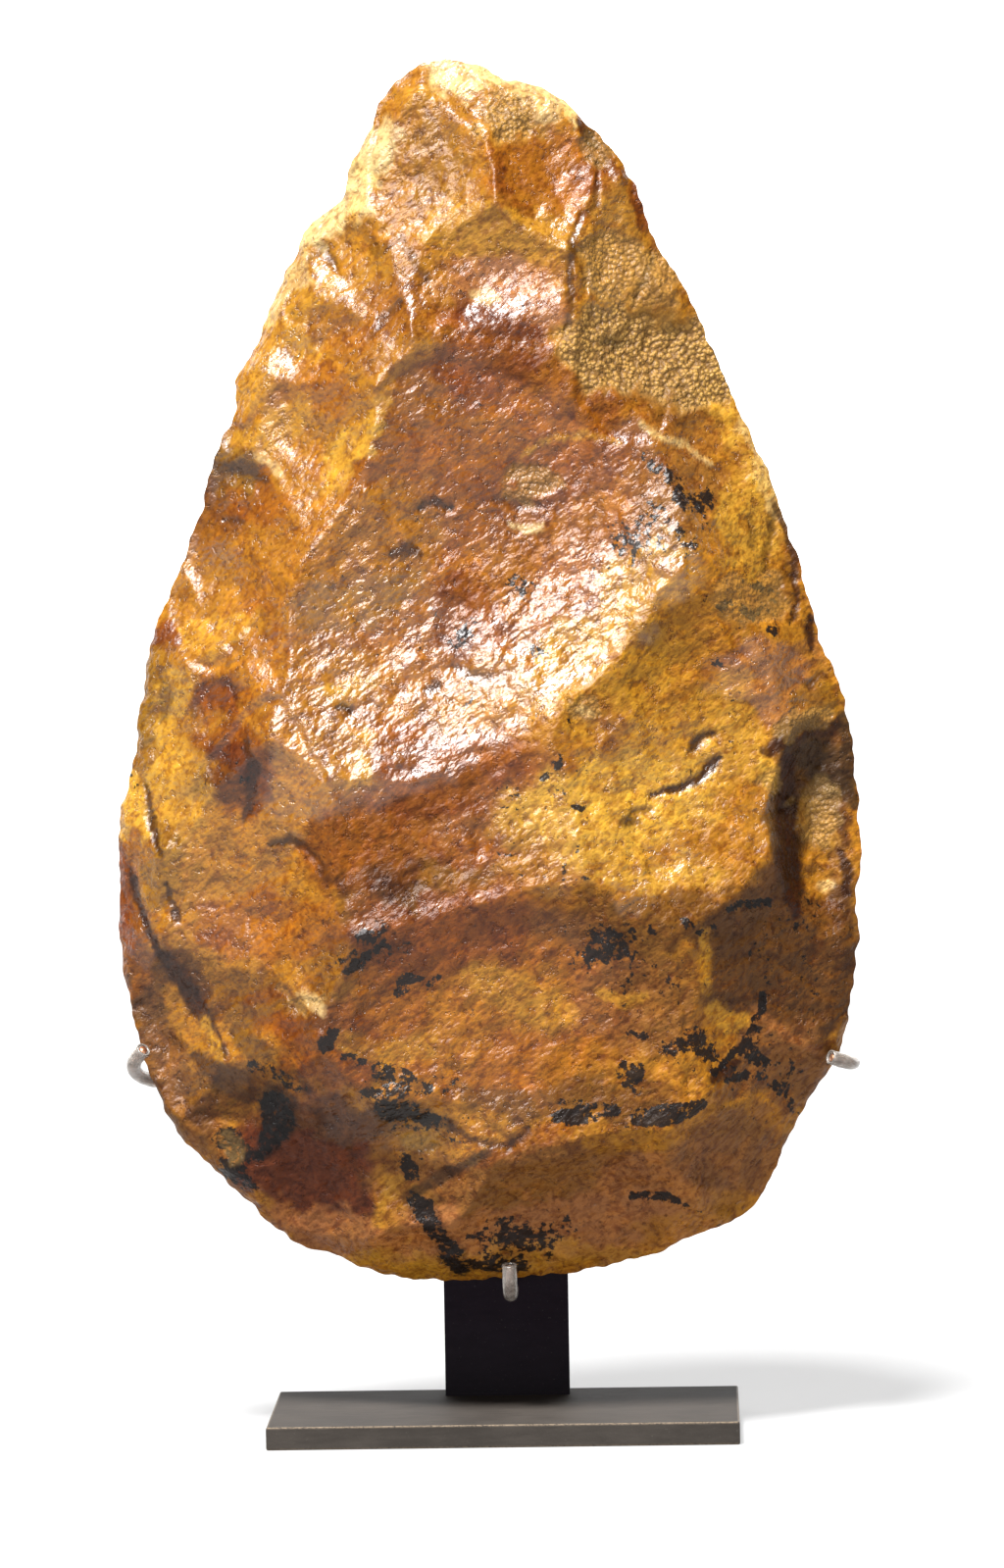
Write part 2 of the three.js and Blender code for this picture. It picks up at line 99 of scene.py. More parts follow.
# name, x, z, long, wide, turn, dish, sink, faceX, faceZ: the same bowls as in the solid.
FRONT_SCARS = [
    ("great flake", 2, 172, 124, 60, 33, 5.5, 1, -0.02, 0.06),
    ("lower right", 37, 144, 74, 50, 35, 3, 1, 0.03, -0.04),
    ("under the great ridge", -6, 130, 52, 26, 20, 1.2, 0.9, 0.03, -0.04),
    ("belly", 8, 92, 86, 48, 0, 2.5, 0.8, 0, -0.05),
    ("right flank", 57, 99, 44, 32, 70, 2.5, 1, 0.1, -0.05),
    ("wide butt", 14, 46, 62, 26, 4, 2, 1, 0.05, -0.05),
    ("brown bowl", -38, 56, 28, 32, 0, 2.8, 2),
    ("left belly", -50, 110, 44, 36, 90, 2.5, 0.8),
    ("left low", -64, 86, 32, 22, 110, 2.5, 1.8, -0.05, -0.1),
    ("left low dark", -52, 68, 26, 20, -30, 2, 1.5, -0.05, -0.1),
    ("ledge", -55, 89, 34, 18, -62, 2.2, 1.2),
    ("right toe", 52, 58, 24, 24, 50, 2, 0.5, 0.05),
    ("right low", 58, 74, 26, 16, -15, 1.5, 0.8),
    ("notch", 66, 125, 15, 44, 0, 4, 4),
    ("left shoulder", -58, 174, 36, 26, 60, 2.5, 0.8, 0, 0.05),
    ("dark bowl", -50, 192, 22, 18, -20, 2, 2.2),
    ("yellow bowl", -38, 205, 26, 22, 50, 2.2, 1),
    ("glossy left", -36, 222, 28, 18, 0, 1.8, 0.6, 0, 0.05),
    ("upper plain", 2, 205, 60, 36, 33, 2, 0.5, 0.05),
    ("right upper", 45, 204, 44, 22, 110, 2, 0.5),
    ("crust", 33, 220, 34, 20, -20, 2, 2.6),
    ("facet", 4, 234, 28, 14, -10, 1.2, 1.2, -0.05, 0.12),
    ("upright sliver", 27, 240, 14, 24, 0, 1.5, 0.8),
    ("tip bowl", 13, 258, 20, 20, 0, 2, 1.6),
    ("rippled", -12, 255, 28, 28, 0, 2, 0.8, -0.05),
    ("tip", -4, 274, 32, 12, -10, 1.5, 0),
    ("upper left", -27, 240, 20, 22, 60, 1.8, 0.5),
    ("right shoulder", 58, 172, 40, 16, -75, 1.6, 0.5),
    ("left strip", -69, 140, 60, 16, 90, 1.6, 0.6),
    ("left patch", -57, 150, 12, 17, 0, 1, 0.7),
    ("right strip", 66, 152, 24, 12, -75, 1.2, 0.6),
    ("butt left", -18, 58, 22, 20, 60, 1.8, 1.2),
    ("step", 49, 82, 12, 16, 40, 1, 0.8),
    ("mottled left", -50, 172, 14, 20, 20, 1, 0.4),
]

RINGS = 160                     # rings of fine facets on the front face; the back has half
SOFTEN = 0.3                    # how far the ridges between flake scars are worn round


def chance(i, kind):
    """A small repeatable number between 0 and 1 for flake i."""
    wave = math.sin(i * 12.9898 + kind * 78.233) * 43758.5453
    return wave - math.floor(wave)


def between(low, high, share):
    """The value that lies that share of the way from low to high."""
    return low + (high - low) * share


def outline_curve(steps=14):
    """The outline as a fine closed line, with the length run at each point."""
    corners = np.array(OUTLINE, float)
    a, b, c, d = (np.roll(corners, 1 - k, axis=0)[:, None] for k in range(4))
    t = (np.arange(steps) / steps)[None, :, None]
    line = 0.5 * (2 * b + (c - a) * t + (2 * a - 5 * b + 4 * c - d) * t ** 2
                  + (3 * b - a - 3 * c + d) * t ** 3)
    line = line.reshape(-1, 2)
    line = np.vstack([line, line[:1]])
    run = np.concatenate([[0], np.cumsum(np.hypot(*np.diff(line, axis=0).T))])
    return line, run / run[-1]


EDGE_LINE, EDGE_RUN = outline_curve()


def edge_at(share):
    """Points on the outline at the given shares of its length."""
    share = np.mod(share, 1.0)
    return np.stack([np.interp(share, EDGE_RUN, EDGE_LINE[:, k]) for k in range(2)], -1)


def nicked_edge(share):
    """The outline with the small nicks and scallops that run along it."""
    here, before, after = (edge_at(share + step) for step in (0, -0.002, 0.002))
    run = after - before
    run /= np.hypot(*run.T)[:, None]
    along = 690 * np.mod(share, 1.0)
    depth = (0.40 + 0.55 * lattice_noise(along, along * 0 + 5, 6.0, 401)
             + 0.45 * lattice_noise(along, along * 0 + 9, 2.8, 402))
    return here + np.clip(depth, 0.05, 1.3)[:, None] * np.stack([-run[:, 1], run[:, 0]], -1)


def edge_distance(x, z):
    """Distance from each point to the outline."""
    dense = nicked_edge(np.arange(6000) / 6000)
    tree = kdtree.KDTree(len(dense))
    for i, (ex, ez) in enumerate(dense):
        tree.insert((ex, 0, ez), i)
    tree.balance()
    return np.array([tree.find((px, 0, pz))[2] for px, pz in zip(x, z)])


def swell(x, z):
    """Height of the unflaked swelling."""
    middle, half, thick = (np.interp(z, SWELL[:, 0], SWELL[:, k]) for k in (1, 2, 3))
    out = np.minimum(np.abs((x - middle) / half), SWELL_LIMIT)
    return thick * (1 - out ** SWELL_SIDES) ** SWELL_CROWN


def wander(x, z):
    """The gentle wander of the scars' borders."""
    wx = 0.9 * np.sin(0.19 * x + 0.11 * z + 1.7) + 0.6 * np.sin(-0.13 * x + 0.31 * z + 0.4)
    wz = 0.9 * np.sin(0.12 * x - 0.21 * z + 0.9) + 0.6 * np.sin(0.29 * x + 0.16 * z + 2.1)
    return x + wx, z + wz


def lattice_noise(x, z, size, seed):
    """Smooth noise between -1 and 1 with lumps about 'size' across."""
    rng = np.random.default_rng(seed)
    turns = rng.uniform(0, 2 * np.pi, (64, 64))
    u, v = x / size + 1000.0, z / size + 1000.0
    iu, iv = np.floor(u).astype(int), np.floor(v).astype(int)
    fu, fv = u - iu, v - iv

    def corner(du, dv):
        turn = turns[(iu + du) % 64, (iv + dv) % 64]
        return np.cos(turn) * (fu - du) + np.sin(turn) * (fv - dv)

    eu, ev = (f * f * f * (f * (f * 6 - 15) + 10) for f in (fu, fv))
    low = corner(0, 0) * (1 - eu) + corner(1, 0) * eu
    high = corner(0, 1) * (1 - eu) + corner(1, 1) * eu
    return 1.5 * (low * (1 - ev) + high * ev)


def turned(x, z, degrees):
    """x and z in axes turned by that many degrees."""
    c, s = math.cos(math.radians(degrees)), math.sin(math.radians(degrees))
    return x * c + z * s, z * c - x * s


def bowl(x0, z0, long, wide, turn, dish, sink, face_x=0, face_z=0):
    """One flake scar, as a function of x and z that gives its height."""
    step = BOWL_REACH
    slope_x = (swell(x0 + step, z0) - swell(x0 - step, z0)) / (2 * step) - face_x
    slope_z = (swell(x0, z0 + step) - swell(x0, z0 - step)) / (2 * step) - face_z
    middle = swell(x0, z0) - sink

    def height(x, z):
        wx, wz = wander(x, z)
        dx, dz = wx - x0, wz - z0
        u, v = turned(dx, dz, turn)
        hollow = dish * ((2 * u / long) ** 2 + (2 * v / wide) ** 2 - 1)
        return middle + slope_x * dx + slope_z * dz + hollow

    return height


def retouch(kind, count=RETOUCH_SCARS, rise=(0.85, 1.3), round_=(14, 26)):
    """The small flakes along the edge, each a scoop that rises inwards from it."""
    def one(i):
        share = (i + 0.5 * chance(i, kind)) / count
        (x0, z0), (bx, bz), (ax, az) = edge_at(share + RETOUCH_SPAN * np.array([0, -1, 1]))
        run = math.hypot(ax - bx, az - bz)
        tx, tz = (ax - bx) / run, (az - bz) / run
        steep = between(*rise, chance(i, kind + 1))
        width = between(*round_, chance(i, kind + 2))

        def height(x, z):
            along = (x - x0) * tx + (z - z0) * tz
            inward = (z - z0) * tx - (x - x0) * tz
            return steep * np.maximum(inward, 0) + along ** 2 / (2 * width) + RETOUCH_LIFT

        return height

    return [one(i) for i in range(count)]


# Rings of scars on the back: how many, how far out, long, wide.
BACK_RINGS = [(15, 0.74, 44, 30), (7, 0.36, 56, 38), (1, 0.05, 60, 44)]


def back_scars():
    """The back face's scars: rings of long flakes struck in from the edge."""
    scars = []
    for ring, (flakes, reach, long, wide) in enumerate(BACK_RINGS):
        for i in range(flakes):
            ex, ez = edge_at(np.array([(i + 0.6 * chance(i, ring + 20)) / flakes]))[0]
            x, z = between(STONE_MIDDLE[0], ex, reach), between(STONE_MIDDLE[1], ez, reach)
            turn = math.degrees(math.atan2(ez - z, ex - x))
            size = between(0.8, 1.2, chance(i, ring + 30))
            sink = between(0, BACK_SINK, chance(i, ring + 40))
            scars.append((x, z, long * size, wide * size, turn, BACK_DISH, sink))
    return scars


def soft_lowest(heights, soften):
    """The lowest of several heights, with the creases between them worn round."""
    least = heights.min(0)
    return least - soften * np.log(np.exp(-(heights - least) / soften).sum(0))


CRACK_DEPTH = 0.5               # how deep the thin cracks are
LEAST_STROKE = 0.25             # added to the half width of every stroke
STROKE_PUSH = 0.6               # how far the edges of strokes wander
DEEPEST_FLAKE = 1.1             # no little flake takes off more than this
SMALL_FLAKES = 110              # little flakes that left facets within the big scars


def small_flakes(x, z, body, kind):
    """Cuts little shallow flakes into a surface given as a function of x and z."""
    number = np.arange(SMALL_FLAKES)
    rolls = np.array([[chance(i, kind + 40 + k) for k in range(8)] for i in number])
    edge = edge_at(rolls[:, 0])
    reach = np.sqrt(between(0.02, 0.92, rolls[:, 1]))
    x0 = between(STONE_MIDDLE[0], edge[:, 0], reach)
    z0 = between(STONE_MIDDLE[1], edge[:, 1], reach)
    step = 2.5
    middle = body(x0, z0)
    slope_x = (body(x0 + step, z0) - body(x0 - step, z0)) / (2 * step)
    slope_z = (body(x0, z0 + step) - body(x0, z0 - step)) / (2 * step)
    height = body(x, z)
    deepest = height - DEEPEST_FLAKE
    wx, wz = wander(2.2 * x, 2.2 * z)
    wx, wz = wx / 2.2, wz / 2.2
    for i in number:
        dx, dz = wx - x0[i], wz - z0[i]
        u, v = turned(dx, dz, 180 * rolls[i, 2])
        long = between(9, 24, rolls[i, 3])
        wide = long * between(0.45, 0.9, rolls[i, 4])
        dish = between(0.35, 1.0, rolls[i, 5])
        tilt_x, tilt_z = 0.14 * (rolls[i, 6] - 0.5), 0.14 * (rolls[i, 7] - 0.5)
        hollow = dish * ((2 * u / long) ** 2 + (2 * v / wide) ** 2 - 1)
        flake = middle[i] + (slope_x[i] + tilt_x) * dx + (slope_z[i] + tilt_z) * dz + hollow
        height = soft_lowest(np.array([height, flake + 0.25 * dish]), 0.12)
    return np.maximum(height, deepest)


def ripples(x, z, scars, heights):
    """Faint rings that spread over each scar from the blow that made it."""
    weight = np.exp(-(heights - heights.min(0)) / 0.8)
    weight /= weight.sum(0)
    total = np.zeros_like(x)
    for i, (scar, share) in enumerate(zip(scars, weight)):
        x0, z0, long, _, turn = scar[:5]
        away = 0.75 * long * (1 if chance(i, 60) > 0.5 else -1)
        cx = x0 + away * math.cos(math.radians(turn))
        cz = z0 + away * math.sin(math.radians(turn))
        wide = between(5, 9, chance(i, 61))
        reach = np.hypot(x - cx, z - cz) + 1.2 * lattice_noise(x, z, 14, 70 + i % 5)
        total += share * between(0.04, 0.12, chance(i, 62)) * np.sin(2 * np.pi * reach / wide)
    return total


def relief(x, z, seed):
    """Lumps and grain that the flaking left, in mm."""
    lumps = 0.42 * lattice_noise(x, z, 19, seed) + 0.26 * lattice_noise(x, z, 8.5, seed + 1)
    u, v = turned(x, z, 36)
    grain = 0.22 * lattice_noise(u, v * 1.6, 5.2, seed + 2)
    fine = 0.10 * lattice_noise(u, v * 1.3, 2.6, seed + 3)
    return lumps + grain + fine


def face_height(x, z, away, scars, kind, scale, rind):
    """Height of one face above the edge plane."""
    hollows = [bowl(*scar) for scar in scars]
    chips = retouch(kind) + retouch(kind + 5, 150, (1.0, 2.0), (4, 9))

    def flaked(px, pz):
        heights = [scale * hollow(px, pz) for hollow in hollows]
        return soft_lowest(np.array(heights + [chip(px, pz) for chip in chips]), SOFTEN)

    body = small_flakes(x, z, flaked, kind)
    bowls = np.array([scale * hollow(x, z) for hollow in hollows])
    body += ripples(x, z, scars, bowls) + relief(x, z, 100 + kind) - 0.35
    body += rind * (0.4 * lattice_noise(x, z, 2.9, 120 + kind)
                    + 0.3 * lattice_noise(x, z, 2.0, 121 + kind) - 0.3)
    rim = np.clip(away / 5, 0, 1)
    steep = EDGE_SLOPE * away * (0.75 + 0.25 * rim)
    return np.maximum(np.minimum(body, steep), 0.25 * away * (1 - rim) + 0.4 * rim)


def lattice(rings):
    """A six-sided lattice: each corner's share of the way out and round, and its triangles."""
    out, around = [np.zeros(1)], [np.zeros(1)]
    for ring in range(1, rings + 1):
        out.append(np.full(6 * ring, ring / rings))
        around.append(np.arange(6 * ring) / (6 * ring))
    start = [0] + [1 + 3 * ring * (ring - 1) for ring in range(1, rings + 1)]
    triangles = []
    for ring in range(1, rings + 1):
        i = np.arange(6 * ring)
        sector, step = i // ring, i % ring
        inner_count = max(6 * (ring - 1), 1)
        inner = start[ring - 1] + (sector * (ring - 1) + step) % inner_count
        outer = start[ring] + i
        outer_next = start[ring] + (i + 1) % (6 * ring)
        triangles.append(np.stack([inner, outer, outer_next], -1))
        keep = step < ring - 1
        inner_next = start[ring - 1] + (sector * (ring - 1) + step + 1) % inner_count
        triangles.append(np.stack([inner, outer_next, inner_next], -1)[keep])
    return np.concatenate(out), np.concatenate(around), np.concatenate(triangles)


def meet_rim(triangles, rim, count):
    """Splits the triangles along the rim, which has a point between every two of theirs."""
    kept, split = [], []
    for triangle in triangles:
        on_rim = [corner for corner in range(3) if rim <= triangle[corner] < rim + count]
        if len(on_rim) < 2:
            kept.append(triangle)
            continue
        first = on_rim[0] if on_rim != [0, 2] else 2
        a, b, c = (triangle[(first + turn) % 3] for turn in range(3))
        middle = rim + (a - rim + (1 if (b - a) % count == 2 else -1)) % count
        split += [(a, middle, c), (middle, b, c)]
    return np.array(kept + split)


class StoneFace:
    """One face of the stone as a fine lattice of points."""

    def __init__(self, rings):
        self.out, around, self.triangles = lattice(rings)
        edge = nicked_edge(around)
        self.x = between(STONE_MIDDLE[0], edge[:, 0], self.out)
        self.z = between(STONE_MIDDLE[1], edge[:, 1], self.out)
        self.away = edge_distance(self.x, self.z)
        self.away[self.out == 1] = 0

    def rise(self, scars, kind, scale, crust, rough=(), grooves=()):
        """Works out the height of every point above the edge plane."""
        rind = stone_patches(self.x, self.z, crust)
        self.height = face_height(self.x, self.z, self.away, scars, kind, scale, rind)
        along, across = turned(self.x, self.z, -25)
        self.height += stone_patches(self.x, self.z, rough) * (
            0.4 * lattice_noise(along / 1.7, across, 2.1, 130 + kind)
            + 0.18 * lattice_noise(along / 1.5, across, 1.3, 131 + kind))
        wx, wz = jittered(self.x, self.z)
        for route in grooves:
            self.height -= CRACK_DEPTH * stroke(wx, wz, route, 0.6) * np.clip(self.away / 3, 0, 1)

    def points(self, side):
        """The points in mm, on the side of the edge plane that the sign gives."""
        wave = np.sin(self.z / SWAY_LENGTHS[0] + self.x / SWAY_LENGTHS[1])
        sway = SWAY * wave * np.exp(-self.away / SWAY_REACH)
        return np.stack([self.x, EDGE_Y + sway + side * self.height, self.z], -1)


def soft_patch(x, z, x0, z0, wide, tall, turn, edge):
    """A blotch: 1 in its middle and 0 outside, with a soft border."""
    u, v = turned(x - x0, z - z0, turn)
    reach = np.hypot(2 * u / wide, 2 * v / tall)
    share = np.clip((1 - reach) / edge + 0.5, 0, 1)
    return share * share * (3 - 2 * share)


# ---------------------------------------------------------------- the stone's colours

# Flint colours as red, green and blue out of 255; umber, bark and cream also serve as painted shade,
# shadow, highlight and glow.
PALETTE = {
    "amber": (172, 114, 30), "honey": (198, 142, 42), "straw": (210, 158, 56),
    "olive": (142, 98, 22), "orange": (156, 88, 18), "rust": (124, 62, 14),
    "brick": (100, 48, 22), "umber": (60, 30, 12), "tan": (128, 82, 40),
    "dun": (96, 60, 26), "cream": (232, 200, 136), "soot": (22, 18, 18),
    "crust": (178, 126, 48), "bark": (70, 48, 26), "rose": (166, 106, 58),
}

DEPTH = 0.68                    # how deep the colours are under studio light

# Broad blotches of the front face: x, z, wide, tall, turn, colour, strength.
FRONT_TINTS = [
    # the upper third
    (0, 245, 90, 80, 0, "amber", 0.7), (-18, 268, 22, 20, 0, "amber", 0.7),
    (-36, 240, 26, 34, 60, "honey", 0.6), (-46, 222, 20, 26, 60, "honey", 0.6),
    (4, 246, 34, 14, 0, "honey", 0.6), (-10, 260, 16, 18, 0, "olive", 0.4),
    (13, 257, 24, 18, 0, "orange", 0.7), (24, 258, 10, 16, 0, "rust", 0.6),
    (-22, 229, 26, 16, 10, "rust", 0.5), (-25, 243, 22, 12, 30, "amber", 0.7),
    (2, 235, 26, 12, -10, "rose", 0.8), (26, 241, 14, 26, 10, "crust", 0.7),
    (0, 221, 24, 22, 15, "rust", 0.85), (-14, 207, 34, 16, 35, "rust", 0.6),
    (14, 213, 34, 16, 0, "rust", 0.6), (10, 199, 44, 16, 0, "rust", 0.5),
    (30, 222, 36, 17, -8, "crust", 1.0), (44, 217, 14, 16, 0, "crust", 0.8),
    (-36, 214, 20, 12, 0, "orange", 0.6), (-46, 204, 24, 10, 30, "honey", 0.7),
    (-27, 202, 6, 26, -38, "straw", 0.9), (-53, 195, 20, 16, -20, "umber", 0.55),
    (-46, 192, 12, 14, 0, "orange", 0.7), (51, 206, 10, 34, 25, "straw", 0.7),
    (38, 203, 22, 12, 0, "tan", 0.5),
    (5, 268, 12, 14, 60, "crust", 0.7),
    (36, 211, 22, 8, -15, "dun", 0.5),
    # the great flake
    (-10, 180, 100, 50, 30, "orange", 0.6), (0, 190, 70, 18, 20, "rust", 0.5),
    (-28, 182, 40, 24, 20, "amber", 0.6), (-30, 171, 34, 10, 12, "olive", 0.5),
    (-4, 168, 16, 16, 40, "rust", 0.7),
    (-38, 156, 44, 16, 0, "amber", 0.6), (20, 176, 30, 18, 40, "orange", 0.5),
    (-18, 143, 20, 10, 40, "rust", 0.7), (-28, 154, 12, 4, 20, "honey", 0.6),
    (-26, 141, 5, 12, 0, "honey", 0.6), (22, 170, 46, 6, 42, "straw", 0.6),
    (38, 191, 22, 14, 20, "tan", 0.5),
    # the left flank
    (-57, 186, 16, 16, 60, "rust", 0.5), (-60, 174, 16, 18, 60, "amber", 0.6),
    (-58, 165, 22, 8, 10, "honey", 0.7), (-69, 150, 10, 44, -8, "olive", 0.7),
    (-66, 146, 5, 26, -6, "straw", 0.7), (-62, 160, 8, 10, 0, "honey", 0.7),
    (-66, 165, 8, 8, 0, "rust", 0.6), (-57, 153, 14, 10, 0, "rust", 0.6),
    (-53, 138, 18, 18, -30, "rust", 0.8), (-54, 137, 10, 12, -30, "umber", 0.5),
    (-63, 132, 14, 26, -10, "straw", 0.5), (-66, 118, 12, 20, 0, "olive", 0.7),
    (-50, 120, 24, 22, 0, "amber", 0.6),
    (-38, 116, 12, 14, 0, "amber", 0.5), (-45, 106, 34, 14, 0, "orange", 0.7),
    (-74, 104, 8, 30, 0, "rust", 0.7), (-77, 118, 6, 20, 0, "rust", 0.5),
    (-72, 132, 4, 20, -8, "straw", 0.8),
    # under the great ridge
    (-26, 123, 24, 22, 0, "rust", 0.75), (-8, 136, 34, 16, 25, "rust", 0.85),
    (-12, 115, 26, 12, 0, "umber", 0.55), (6, 141, 24, 12, 30, "orange", 0.6),
    (-2, 124, 26, 14, 0, "rust", 0.7), (-22, 112, 20, 12, 0, "umber", 0.5),
    (26, 160, 44, 20, 42, "honey", 0.7), (34, 162, 30, 10, 42, "olive", 0.4),
    (24, 130, 46, 20, 8, "straw", 0.9), (48, 168, 26, 20, 0, "amber", 0.7),
    (56, 154, 24, 16, 0, "rose", 0.7), (38, 148, 30, 16, 10, "honey", 0.6),
    (34, 116, 26, 7, -5, "straw", 0.7),
    (47, 122, 16, 12, 35, "amber", 0.7), (48, 140, 18, 12, 0, "straw", 0.5),
    (53, 186, 12, 20, 0, "straw", 0.6),
    # the notch in the right edge; the bark blotch is partly its own dark grey-brown, partly painted
    # shadow
    (64, 127, 16, 42, 0, "bark", 0.8), (70, 130, 8, 30, 0, "dun", 0.7),
    (68, 111, 7, 14, 0, "amber", 0.8),
    (57, 136, 5, 9, 0, "straw", 0.5), (66, 152, 10, 10, 40, "olive", 0.6),
    # the belly
    (0, 92, 60, 44, 0, "orange", 0.8), (-12, 106, 40, 14, 0, "rust", 0.75),
    (-8, 84, 14, 20, 0, "amber", 0.5), (6, 92, 22, 14, 0, "amber", 0.5),
    (16, 77, 16, 10, 0, "amber", 0.3), (-26, 98, 24, 16, 10, "umber", 0.4),
    (-34, 82, 22, 18, 0, "rust", 0.8), (-12, 98, 20, 8, 0, "rust", 0.5),
    (28, 106, 40, 12, 0, "dun", 0.7), (30, 90, 26, 20, 0, "tan", 0.7),
    (43, 90, 8, 26, -8, "amber", 0.6), (-46, 90, 30, 12, -10, "umber", 0.5),
    (16, 70, 50, 8, 0, "dun", 0.7),
    # the right flank
    (59, 98, 36, 40, 0, "dun", 0.95), (64, 88, 20, 16, 0, "dun", 0.6),
    (58, 76, 24, 18, -20, "tan", 0.9),
    # the lower left
    (-68, 90, 14, 24, -20, "dun", 0.9),
    (-70, 76, 14, 18, 0, "tan", 0.8),
    (-66, 68, 16, 14, -30, "dun", 0.7),
    (-58, 60, 18, 12, -35, "tan", 0.7),
    (-39, 57, 32, 32, 0, "brick", 1.0), (-34, 66, 30, 10, -8, "dun", 0.7),
    (-22, 50, 6, 24, -10, "amber", 0.5), (-33, 42, 34, 10, -15, "rose", 0.8),
    # the butt
    (8, 54, 70, 14, 0, "tan", 0.8), (34, 51, 44, 18, 15, "rose", 0.6),
    (48, 58, 24, 18, 0, "tan", 0.8), (10, 42, 70, 16, 0, "rose", 0.9),
    (40, 44, 26, 8, 20, "amber", 0.6),
    (5, 62, 24, 6, 10, "rust", 0.6),
    (0, 36, 90, 6, 0, "honey", 0.4),
    # pale thin edges: the cream is painted glow of light shining through the thin stone
    (-5, 278, 16, 10, -10, "cream", 1.0), (-12, 273, 10, 6, 0, "honey", 0.6),
    (12, 272, 16, 5, -25, "cream", 0.6), (-24, 258, 7, 22, -22, "cream", 0.9),
    (-33, 248, 7, 16, -50, "cream", 0.9), (-42, 233, 5, 22, -32, "cream", 0.5),
    (56, 196, 4, 30, 20, "cream", 0.4), (44, 230, 5, 16, 24, "cream", 0.5),
]

# The back face, plainer: weathered amber and brown.
BACK_TINTS = [
    (0, 230, 100, 90, 0, "amber", 0.6), (-10, 180, 70, 60, 20, "orange", 0.6),
    (30, 150, 60, 70, -20, "olive", 0.6), (-35, 120, 60, 50, 15, "rust", 0.6),
    (20, 90, 70, 50, 0, "dun", 0.7), (-40, 70, 50, 40, -20, "brick", 0.7),
    (5, 50, 70, 26, 0, "tan", 0.7), (-5, 255, 40, 26, 0, "honey", 0.6),
    (35, 205, 24, 40, 20, "straw", 0.6), (-55, 150, 20, 60, -10, "straw", 0.5),
    (0, 120, 40, 16, 30, "umber", 0.4), (-20, 205, 26, 14, 30, "umber", 0.35),
    # the cream blotches are painted glow of light through the thin edges
    (-4, 278, 16, 8, 0, "cream", 0.8), (30, 252, 8, 24, 24, "cream", 0.5),
]

# Where black stains have crept in: x, z, wide, tall, turn, density.
FRONT_STAINS = [
    (22, 102, 16, 14, 0, 0.6), (34, 186, 24, 12, 25, 0.5), (-26, 102, 18, 10, 10, 0.5),
    (-20, 74, 26, 10, -10, 0.5), (6, 41, 22, 13, 0, 0.9), (20, 67, 26, 7, -5, 0.4),
    (40, 80, 14, 14, 0, 0.4), (50, 80, 14, 14, 45, 0.5), (52, 170, 18, 12, 0, 0.45),
    (30, 96, 24, 20, 0, 0.4), (60, 98, 20, 26, 0, 0.35), (10, 118, 30, 8, 0, 0.45),
    (-16, 66, 22, 9, -8, 0.5), (-54, 58, 14, 14, 0, 0.6), (40, 135, 14, 6, 38, 0.3),
    (-50, 138, 10, 14, -30, 0.4), (10, 132, 24, 10, 0, 0.4), (60, 76, 14, 16, 20, 0.45),
]

